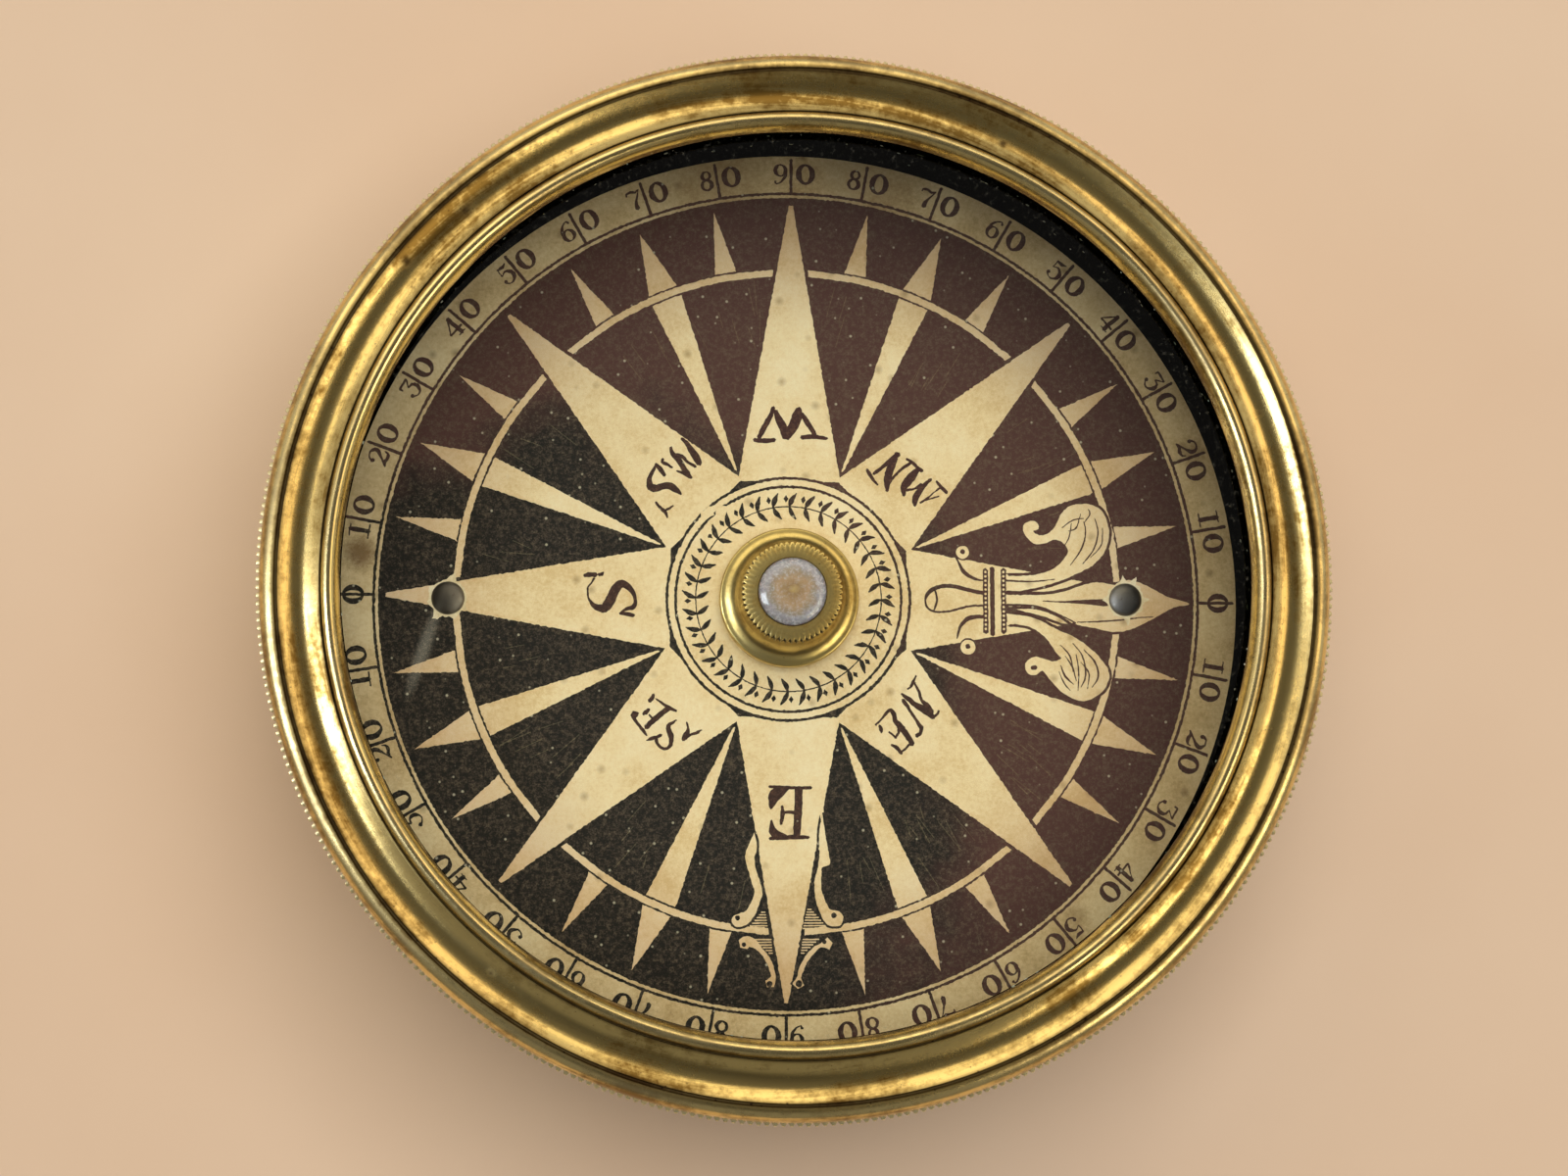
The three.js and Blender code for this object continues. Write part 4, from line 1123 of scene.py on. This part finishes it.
def lay_degrees():
    """A tick every ten degrees, numbered up from north and south to east and west."""
    for tick in range(36):
        azimuth = 10 * tick
        place = card_frame(azimuth, 0)
        degrees = azimuth % 180
        number = str(min(degrees, 180 - degrees))
        offsets = (-0.68, 0.93) if len(number) == 2 else (0,)
        for numeral, offset in zip(number, offsets):
            strokes, ovals = NUMERALS[numeral]
            spot = card_frame(azimuth, NUMERAL_BASE)

            def shift(x, y, *width, spot=spot, offset=offset):
                return spot(x + offset, y, *width)
            for tone, x, y, half_width, half_height in ovals:
                lay(tone, placed(shift, oval(x, y, half_width, half_height)), 0.01)
            lay_strokes(INK, shift, strokes)
        lay(INK, placed(place, stroke([(0, OUTER_RING, 0.2), (0, CARD_RADIUS - 0.2, 0.2)])), 0.012)


def lay_centre_ornament():
    """A wreath of small leaves and lozenges round the cap."""
    lay(INK, circle_line(5.93), 0.01)
    lay(CREAM, circle_line(5.85), 0.01)
    for leaf in range(36):
        place = card_frame(10 * leaf, 5.89)
        lay_strokes(INK, place, [
            [(0, 0, 0.1), (0.14, 0.38, 0.34), (0.46, 0.86, 0.08)],
            [(0, 0, 0.1), (0.14, -0.38, 0.32), (0.42, -0.8, 0.08)],
        ])
        lay(INK, placed(place, [(-0.36, 0.5), (-0.2, 0.74), (-0.04, 0.5), (-0.2, 0.26)]), 0.01)


def lay_letters():
    for (azimuth, base), strokes in POINT_LETTERS.items():
        lay_strokes(LETTERING, card_frame(azimuth, base), strokes)
    west = card_frame(90, 13.0)
    lay_strokes(LETTERING, lambda x, y, *width: west(-x, -y, *width), WEST_LETTER)


FLEUR_PETALS = [
    [(13.9, 1.5), (15.4, 1.55), (16.4, 1.75), (17.1, 2.1), (17.55, 2.55), (17.85, 3.1), (17.6, 3.6),
     (17.0, 3.85), (16.4, 3.6), (15.8, 3.55), (15.4, 3.8), (15.0, 4.4), (15.1, 4.85), (15.6, 5.05),
     (15.95, 4.85), (15.95, 4.5), (15.65, 4.4), (15.8, 4.2), (16.15, 4.1), (16.7, 4.3), (17.15, 4.85),
     (17.45, 5.5), (18.0, 6.0), (18.75, 6.15), (19.5, 6.05), (20.1, 5.65), (20.45, 4.85), (20.5, 4.0),
     (20.15, 2.95), (19.3, 2.1), (18.4, 1.65), (17.5, 1.25), (16.0, 0.8), (13.9, 0.5)],
    [(13.95, -1.55), (15.2, -1.7), (15.95, -2.1), (16.5, -2.6), (17.1, -3.5), (17.35, -3.75), (16.9, -3.95),
     (16.45, -3.85), (15.75, -3.65), (15.15, -3.95), (15.05, -4.4), (15.3, -4.8), (15.75, -4.8),
     (16.15, -4.55), (16.65, -5.15), (17.3, -5.85), (18.15, -6.35), (18.9, -6.45), (19.6, -6.15),
     (20.2, -5.55), (20.4, -4.7), (19.95, -3.85), (19.2, -3.1), (18.2, -2.4), (17.2, -1.95), (16.0, -1.35),
     (14.8, -0.9), (13.95, -0.75)],
    [(13.9, 0.3), (16.1, 0.3), (17.5, 0.5), (18.95, 1.0), (19.85, 1.1), (21.0, 0.95), (21.6, 1.25),
     (22.4, 1.1), (23.2, 0.75), (24.2, 0.2), (25.6, -0.25), (24.6, -0.5), (23.3, -1.2), (21.85, -1.9),
     (20.65, -2.05), (19.4, -1.8), (18.2, -1.55), (17.2, -0.95), (15.8, -0.45), (13.9, -0.4)],
]
FLEUR_LINES = [
    [(13.9, 1.2, 0.12), (15.5, 1.15, 0.1), (17, 1.3, 0.06)],
    [(13.9, 0.45, 0.25), (16.1, 0.4, 0.2), (17.5, 0.6, 0.2), (18.6, 0.95, 0.15), (19.9, 1.3, 0.1)],
    [(13.9, -0.75, 0.3), (15.2, -0.95, 0.25), (16.3, -1.2, 0.2), (17.5, -1.6, 0.15), (18.3, -1.5, 0.1)],
    [(13.9, -0.35, 0.15), (15.8, -0.45, 0.15), (17.2, -0.95, 0.1), (18.3, -1.5, 0.1)],
    [(16.2, -0.1, 0.06), (17.5, -0.15, 0.12), (19, -0.15, 0.3), (20.2, -0.2, 0.45), (20.5, -0.2, 0.3)],
    [(18.4, -1.45, 0.06), (19.8, -1.4, 0.1), (21.2, -1.3, 0.1), (22.4, -1.15, 0.08), (23.3, -1.1, 0.06)],
    [(17.3, 3.0, 0.06), (17.9, 3.9, 0.08), (18.1, 4.9, 0.06)],
    [(18.0, 2.2, 0.06), (18.7, 3.2, 0.1), (19.0, 4.2, 0.1), (18.9, 5.0, 0.06)],
    [(18.8, 2.3, 0.06), (19.5, 3.2, 0.1), (19.8, 4.3, 0.1), (19.6, 5.2, 0.06)],
    [(17.5, 4.6, 0.06), (18.2, 5.1, 0.1), (18.9, 5.2, 0.06)],
    [(17.3, -2.9, 0.06), (17.9, -3.6, 0.1), (18.1, -4.6, 0.06)],
    [(18.1, -2.8, 0.06), (18.7, -3.6, 0.1), (18.9, -4.8, 0.1), (18.6, -5.6, 0.06)],
    [(18.8, -3.2, 0.06), (19.5, -4.0, 0.12), (19.7, -4.9, 0.12), (19.3, -5.6, 0.06)],
    [(17.3, -4.2, 0.08), (17.6, -4.9, 0.14), (18.1, -5.4, 0.06)],
    [(17.6, -3.6, 0.05), (18.05, -4.3, 0.1), (18.3, -5.2, 0.05)],
    [(18.3, -3.5, 0.05), (18.45, -4.5, 0.1), (18.4, -5.8, 0.05)],
    [(18.6, -4.0, 0.05), (19.1, -4.7, 0.1), (19.0, -5.7, 0.05)],
    [(17.2, -4.6, 0.05), (17.5, -5.3, 0.09), (17.9, -5.8, 0.05)],
    [(18.9, 4.9, 0.05), (19.3, 5.5, 0.09), (19.2, 5.8, 0.05)],
    [(17.9, 4.4, 0.05), (18.4, 4.6, 0.09), (18.7, 5.5, 0.05)],
    [(19.3, 2.7, 0.05), (20.0, 3.5, 0.09), (20.1, 4.6, 0.05)],
]
FLEUR_STEM = [
    (12.4, 0.4), (11.45, 0.6), (10.3, 0.85), (9.45, 0.75), (8.9, 0.4), (8.7, -0.05), (8.85, -0.55),
    (9.35, -0.8), (10.3, -0.75), (11.45, -0.45), (12.4, -0.4),
]
FLEUR_BEADS = 14
FLEUR_BEAD_GAP = 0.28
FLEUR_CURLS = [
    [(12.4, 1.2, 0.1), (11.75, 1.35, 0.2), (11.15, 1.8, 0.25), (10.8, 2.45, 0.12), (10.6, 2.9, 0.1),
     (10.95, 3.2, 0.08)],
    [(12.4, -1.1, 0.2), (11.5, -1.2, 0.3), (10.95, -1.7, 0.2), (10.7, -2.5, 0.1)],
]


def lay_fleur():
    """The fleur-de-lis that marks north, over the north arm."""
    for petal in FLEUR_PETALS:
        lay_leaf(petal, 0.36)
    lay_plainly(INK, FLEUR_LINES, 0.008)
    lay_plainly(INK, [[(x, y, 0.26 if y > 0 else 0.14) for x, y in FLEUR_STEM]])
    lay_plainly(INK, [[(9.3, 0.65, 0.1), (9.45, -0.05, 0.14), (9.25, -0.7, 0.1)]], 0.008)
    lay_plainly(INK, [[(12.98, 2.0, 0.3), (12.98, -2.26, 0.3)]])
    for column in (12.55, 13.7):
        lay_plainly(INK, [[(column, 1.9, 0.34), (column, -2.1, 0.34)]])
        for bead in range(FLEUR_BEADS):
            lay_ball(CREAM, column, 1.75 - FLEUR_BEAD_GAP * bead, 0.08, 0.004, 8)
    lay_plainly(INK, FLEUR_CURLS)
    lay(INK, oval(15.6, -4.35, 0.22, 0.15, 12), 0.01, 0)
    for x, y, ball in ((11.1, 3.0, 0.42), (11.4, -3.05, 0.48)):
        lay_ball(INK, x, y, ball + 0.1)
        lay_ball(CREAM, x, y, ball)
        lay_ball(INK, x, y + 0.05, 0.16, points=12)


SCROLL_LEAVES = [
    [(-2.2, -14.75), (-2.5, -15.45), (-2.75, -16.1), (-2.7, -16.7), (-2.5, -17.35), (-2.35, -17.9),
     (-2.2, -18.4), (-2.3, -18.9), (-2.5, -19.3), (-2.75, -19.7), (-3.15, -19.8), (-3.55, -20.05),
     (-3.6, -20.35), (-3.4, -20.6), (-3.1, -20.65), (-2.6, -20.45), (-2.15, -19.9), (-1.9, -19.25),
     (-1.7, -18.6), (-1.8, -18.0), (-2.0, -17.4), (-2.15, -16.85), (-2.2, -16.3), (-2.05, -15.9),
     (-2.05, -15.35)],
    [(2.1, -13.6), (2.3, -15.0), (2.55, -16.45), (2.5, -16.8), (2.05, -17.0), (2.05, -17.35), (2.0, -18.0),
     (2.1, -18.6), (2.35, -19.25), (2.6, -19.6), (3.05, -19.65), (3.4, -20.05), (3.15, -20.6),
     (2.45, -20.55), (2.1, -20.15), (1.85, -19.55), (1.65, -18.95), (1.6, -18.3), (1.6, -17.65),
     (1.8, -17.05), (1.85, -16.6), (1.9, -16.15), (1.9, -15.65), (1.9, -14.7)],
]
SCROLL_BANDS = [
    [(-2.9, -21.75, 0.75), (-2.6, -21.55, 0.7), (-2.15, -21.75, 0.5), (-1.8, -22.1, 0.3),
     (-1.4, -22.6, 0.3), (-1.15, -23.15, 0.3), (-1.0, -23.75, 0.3), (-1.25, -24.2, 0.7)],
    [(2.45, -21.7, 0.75), (2.0, -21.8, 0.25), (1.55, -22.1, 0.3), (1.05, -22.7, 0.3), (0.75, -23.3, 0.3),
     (0.6, -23.8, 0.25), (0.55, -24.25, 0.75)],
]
SCROLL_EYES = [
    (-3.25, -20.1, 0.16), (2.8, -19.95, 0.18), (-2.85, -21.75, 0.15), (-1.25, -24.2, 0.19),
    (2.2, -21.6, 0.14), (0.6, -24.2, 0.22),
]
HATCH_ROWS = 18
HATCH_START = -19.4
HATCH_GAP = 0.17
HATCHED_CORNERS = [
    [(-1.55, -19.5), (-1.35, -20.75), (-2.6, -20.75)], [(1.2, -19.35), (0.85, -20.8), (2.45, -20.8)],
    [(-1.15, -21.4), (-2.25, -21.4), (-1.05, -22.5)], [(0.85, -21.4), (1.9, -21.4), (0.7, -22.5)],
]


def row_across(corners, y):
    """Where a level line at y crosses a triangle, as two x values, or None."""
    crossings = []
    for (x1, y1), (x2, y2) in zip(corners, corners[1:] + corners[:1]):
        if (y1 - y) * (y2 - y) < 0:
            crossings.append(x1 + (x2 - x1) * (y - y1) / (y2 - y1))
    return sorted(crossings) if len(crossings) == 2 else None


def lay_east_scrolls():
    """Leaf scrolls on both sides of the east arm, with hatched corners."""
    for leaf in SCROLL_LEAVES:
        lay_leaf(leaf, 0.3)
    for band in SCROLL_BANDS:
        lay_plainly(INK, [[(x, y, width + 0.3) for x, y, width in band]])
        lay_plainly(CREAM, [band], 0.012)
    for x, y, eye in SCROLL_EYES:
        lay_ball(INK, x, y, eye, points=12)
    for corners in HATCHED_CORNERS:
        for row in range(HATCH_ROWS):
            y = HATCH_START - HATCH_GAP * row
            ends = row_across(corners, y)
            if ends and ends[1] - ends[0] > 0.15:
                lay_plainly(CREAM, [[(ends[0], y, 0.08), (ends[1], y, 0.08)]], 0.006)


def lay_wear():
    """Paper torn up round the rivets, and a rubbed patch on the inner rings."""
    for x in RIVET_PLACES:
        rim = []
        for k in range(34):
            torn = 1.16 + 0.6 * chance.random() ** 4
            rim.append((x + torn * math.cos(FULL_TURN * k / 34), torn * math.sin(FULL_TURN * k / 34)))
        lay(TORN, rim, 0.02, 0)
    for azimuth, radius, long, wide in ((133, 7.5, 0.6, 0.35), (127, 7.0, 0.45, 0.3), (140, 6.7, 0.35, 0.2)):
        place = card_frame(azimuth, radius)
        rim = [place(x * chance.uniform(0.7, 1.2), y * chance.uniform(0.7, 1.2))
               for x, y in oval(0, 0, long, wide, 14)]
        lay(CREAM, rim, 0.03, 0)


RIVETS = ("needle_rivet_north", "needle_rivet_south")
RIVET_PLACES = [sum(end.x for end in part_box(node)) / 2 / MM for node in RIVETS]
HOLE_OUTLINES = [oval(0, 0, 2.5, 2.5, 64)] + [oval(x, 0, 0.85, 0.85, 32) for x in RIVET_PLACES]


def flat_faces(shapes):
    """Triangles of the plane under (tone, outline) shapes, each with the topmost shape's tone.

    Returns points, triangles, tones, and where each outline's own corners ended up.
    """
    corners = []
    faces = []
    for _, outline in shapes:
        faces.append(list(range(len(corners), len(corners) + len(outline))))
        corners.extend(Vector(point) for point in outline)
    points, _, triangles, sources, _, owners = delaunay_2d_cdt(corners, [], faces, 1, 1e-6, True)
    found = {source: at for at, origin in enumerate(sources) for source in origin}
    tones = [shapes[max(owner)][0] for owner in owners]
    kept = [(list(triangle), tone) for triangle, tone in zip(triangles, tones) if tone != HOLE]
    loops = [[found[corner] for corner in face] for face in faces]
    return [tuple(point) for point in points], kept, loops


def make_printed_card():
    """The paper, its print cut into the top face tone by tone, as one closed sheet."""
    edge = (RING, circle_line(CARD_RADIUS))
    holes = [(HOLE, outline) for outline in HOLE_OUTLINES]
    points, top, loops = flat_faces([edge, *layers, *holes])
    under_points, under, under_loops = flat_faces([edge, *holes])
    bottom = CARD_TOP - PAPER_THICKNESS
    shift = len(points)
    places = [(x, y, CARD_TOP) for x, y in points] + [(x, y, bottom) for x, y in under_points]
    faces = [face for face, _ in top]
    tones = [tone for _, tone in top]
    for face, _ in under:
        faces.append([corner + shift for corner in reversed(face)])
        tones.append(CREAM)
    loop_pairs = [(loops[0], under_loops[0], 1)]
    loop_pairs += [(upper, lower, -1) for upper, lower in zip(loops[-3:], under_loops[-3:])]
    for upper, lower, way in loop_pairs:
        for at in range(len(upper)):
            after = (at + 1) % len(upper)
            side = [lower[at] + shift, lower[after] + shift, upper[after], upper[at]]
            faces.append(side[::way])
            tones.append(CREAM)
    mesh = bpy.data.meshes.new("card_print")
    mesh.from_pydata((np.array(places) * MM).tolist(), [], faces)
    mesh.polygons.foreach_set("material_index", tones)
    piece = link_mesh("card_print", mesh, [
        CREAM_PAPER, RING_PAPER, ROSE_INK, LETTER_INK, TORN_PAPER, SCORED_INK])
    on_body(piece, "card", "card_paper")


# Threads, dust and the frame's own pieces.

def screw_thread_tree():
    """A right-hand ridge that winds up a cylinder, as a swept diamond rooted in the wall."""
    tree, sizes = new_tree("screw_thread", ("Radius", "Turns", "Pitch", "First Height", "Ridge"))
    line = add_node(tree, "GeometryNodeCurvePrimitiveLine").outputs[0]
    steps = add_node(tree, "GeometryNodeResampleCurve", {"Curve": line, "Count": THREAD_STEPS}).outputs[0]
    share = add_node(tree, "GeometryNodeSplineParameter").outputs["Factor"]
    turns = maths(tree, "MULTIPLY", share, sizes["Turns"])
    angle = maths(tree, "MULTIPLY", turns, FULL_TURN)
    round_way = combine(tree, maths(tree, "COSINE", angle), maths(tree, "SINE", angle))
    out = vector_maths(tree, "SCALE", round_way, sizes["Radius"])
    rise = maths(tree, "MULTIPLY_ADD", turns, sizes["Pitch"], sizes["First Height"])
    place = vector_maths(tree, "ADD", out, combine(tree, z=rise))
    wound = add_node(tree, "GeometryNodeSetPosition", {"Geometry": steps, "Position": place}).outputs[0]
    upright = add_node(tree, "GeometryNodeSetCurveNormal", {"Curve": wound}, mode="Z_UP").outputs[0]
    half = THREAD_HALF_BASE * MM
    diamond = add_node(tree, "GeometryNodeCurvePrimitiveQuadrilateral", {
        "Width": sizes["Ridge"], "Bottom Height": half, "Top Height": half}, mode="KITE").outputs[0]
    swept = add_node(tree, "GeometryNodeCurveToMesh", {
        "Curve": upright, "Profile Curve": diamond, "Fill Caps": True}).outputs[0]
    joined = add_node(tree, "GeometryNodeJoinGeometry", {0: swept})
    plug(tree, joined, {0: sizes["Geometry"]})
    close_tree(tree, joined.outputs[0], sizes["Finish"])
    return tree


def make_thread(name, radius, first, last, finish, body):
    piece = run_tree(SCREW_THREAD, bpy.data.meshes.new(name), name, {
        "Radius": radius * MM, "Turns": (last - first) / THREAD_PITCH, "Pitch": THREAD_PITCH * MM,
        "First Height": first * MM, "Ridge": 2 * THREAD_HEIGHT * MM, "Finish": finish,
    })
    on_body(piece, body)


def make_crumbs(name, radius, bottom, top, crumb, density, seed, body):
    """Crumbs of verdigris on the inside of a wall."""
    segments = 72
    angles = np.arange(segments) * FULL_TURN / segments
    rings = [(radius * math.cos(angle) * MM, radius * math.sin(angle) * MM, z * MM)
             for z in (bottom, top) for angle in angles]
    faces = [[k, k + segments, (k + 1) % segments + segments, (k + 1) % segments] for k in range(segments)]
    wall = bpy.data.meshes.new(name)
    wall.from_pydata(rings, [], faces)
    piece = run_tree(CRUMBS, wall, name, {
        "Per Square Metre": density, "Crumb Radius": crumb * MM, "Seed": seed, "Finish": DUST})
    on_body(piece, body)


SCREW_THREAD = screw_thread_tree()
FRAME_FINISHES = {
    "pivot_plug": FITTING_BRASS, "pivot_lock_nut": FITTING_BRASS, "pivot_pin": PIN_STEEL, "card_disc": BOARD,
    "needle": NEEDLE_STEEL, "rivet_washer_north": RIVET_STEEL, "rivet_washer_south": RIVET_STEEL,
    "cap_washer": FITTING_BRASS, "cap_nut": FITTING_BRASS, "glass_pane": GLASS, "glass_gasket": GASKET_PAPER,
    "glass_retaining_ring": FITTING_BRASS,
}
for node, finish in FRAME_FINISHES.items():
    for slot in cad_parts[node].material_slots:
        slot.material = finish

make_bezel()
make_case()
make_cap()
make_jewel()
for node in RIVETS:
    make_rivet(node)
lay_rings_and_rays()
lay_degrees()
lay_centre_ornament()
lay_letters()
lay_fleur()
lay_east_scrolls()
lay_wear()
make_printed_card()
make_thread("bezel_thread", SPIGOT_RADIUS, SPIGOT_BOTTOM + THREAD_INSET, RIM - THREAD_INSET, BEZEL_BRASS,
            "bezel")
make_thread("case_thread", BORE_RADIUS, SPIGOT_BOTTOM + THREAD_INSET + THREAD_PITCH / 2, RIM - THREAD_INSET,
            CASE_BRASS, "case")
make_crumbs("chamber_crumbs", CHAMBER_RADIUS, CARD_TOP, STEP_HEIGHT - 0.3, 0.1, 1.5e5, 3, "case")
make_crumbs("spigot_crumbs", GLASS_POCKET, SPIGOT_BOTTOM + 0.1, RETAINER_BOTTOM - 0.1, 0.12, 2.2e5, 5,
            "bezel")
make_crumbs("lip_crumbs", LIP_BORE, LIP_SEAT + 0.1, CREASE_HEIGHT - 0.7, 0.09, 4e5, 4, "bezel")


# Floor, lamps and camera.

def make_floor():
    mesh = bpy.data.meshes.new("floor")
    half = 3.0
    corners = [(-half, -half, 0), (half, -half, 0), (half, half, 0), (-half, half, 0)]
    mesh.from_pydata(corners, [], [(0, 1, 2, 3)])
    material, tree, shader = new_material("painted_board_floor", {
        "Roughness": 0.9, "Specular IOR Level": 0.1})
    mottle = noise(tree, millimetres(tree), 0.02, 4)
    plug(tree, shader, {"Base Color": ramp(tree, mottle, (0.3, "#d9bea4"), (0.7, "#dfc8b0"))})
    link_mesh("floor", mesh, [material])


def make_lamp(name, azimuth, elevation, distance, size, power, colour, shown=True, lighting=True):
    """A soft lamp aimed at the compass.

    Metal and glass mirror it where shown is set, and it lights matt faces where lighting is.
    """
    lamp = bpy.data.lights.new(name, "AREA")
    lamp.shape = "RECTANGLE"
    lamp.size, lamp.size_y = size
    lamp.energy = power
    lamp.color = linear(colour)[:3]
    holder = bpy.data.objects.new(name, lamp)
    flat = math.radians(azimuth)
    lift = math.radians(elevation)
    towards = Vector((math.cos(lift) * math.cos(flat), math.cos(lift) * math.sin(flat), math.sin(lift)))
    holder.location = towards * distance
    holder.rotation_euler = towards.to_track_quat("Z", "Y").to_euler()
    holder.visible_glossy = shown
    holder.visible_diffuse = lighting
    bpy.context.scene.collection.objects.link(holder)


def make_camera():
    """A camera 19 cm over the compass, a little towards south and east of its centre."""
    lens = bpy.data.cameras.new("camera")
    lens.sensor_width = 36
    lens.lens = 65.71
    lens.clip_start = 0.01
    lens.clip_end = 20
    eye = Vector((-9.376, -17.006, 187.417)) * MM
    right = Vector((0.9987425, -0.0021017, 0.0500901))
    up = Vector((-0.0027944, 0.995234, 0.0974755))
    back = -Vector((0.0500562, 0.0974929, -0.9939766))
    holder = bpy.data.objects.new("camera", lens)
    turn = Matrix((right, up, back)).transposed().to_4x4()
    holder.matrix_world = Matrix.Translation(eye) @ turn
    bpy.context.scene.collection.objects.link(holder)
    bpy.context.scene.camera = holder


def make_world():
    """A dim room for what lights the floor, and another for what the eye and the metal see.

    The second has pale walls, duller towards -Y, under a dark ceiling.
    """
    world = bpy.data.worlds.new("studio")
    world.use_nodes = True
    tree = world.node_tree
    dim = tree.nodes["Background"]
    plug(tree, dim, {"Color": "#d8cfc4", "Strength": 0.12})
    parts = add_node(tree, "ShaderNodeSeparateXYZ", {
        0: add_node(tree, "ShaderNodeTexCoord").outputs["Generated"]}).outputs
    walls = remap(tree, parts[2], 0.6, 0.93, 0.75, 0.16, smooth=True)
    side = remap(tree, parts[1], -0.5, 0.2, 0.36, 1.0)
    level = maths(tree, "MULTIPLY", walls, side)
    pale = add_node(tree, "ShaderNodeBackground", {"Color": "#e6e0d8", "Strength": level}).outputs[0]
    rays = add_node(tree, "ShaderNodeLightPath").outputs
    seen = maths(tree, "MAXIMUM", rays["Is Camera Ray"], rays["Is Glossy Ray"])
    shown = maths(tree, "MAXIMUM", seen, rays["Is Transmission Ray"])
    room = mixed_shaders(tree, shown, dim.outputs[0], pale)
    plug(tree, tree.nodes["World Output"], {"Surface": room})
    bpy.context.scene.world = world


make_floor()
make_world()
make_lamp("window", 188, 41, 0.6, (0.17, 0.4), 2.1, "#ebf1ff", lighting=False)
make_lamp("room_lamp", 328, 42, 0.6, (0.32, 0.26), 0.9, "#fff0d2", lighting=False)
make_lamp("warm_wall", 110, 46, 0.8, (1.0, 0.5), 2.0, "#fbe8c4")
make_lamp("doorway", 24, 44, 0.8, (0.7, 0.35), 0.9, "#ffdca8", lighting=False)
make_lamp("ceiling", 50, 79, 1.0, (1.0, 1.0), 9.9, "#fffaf4", shown=False)
make_camera()
bpy.context.scene.view_settings.view_transform = "Standard"
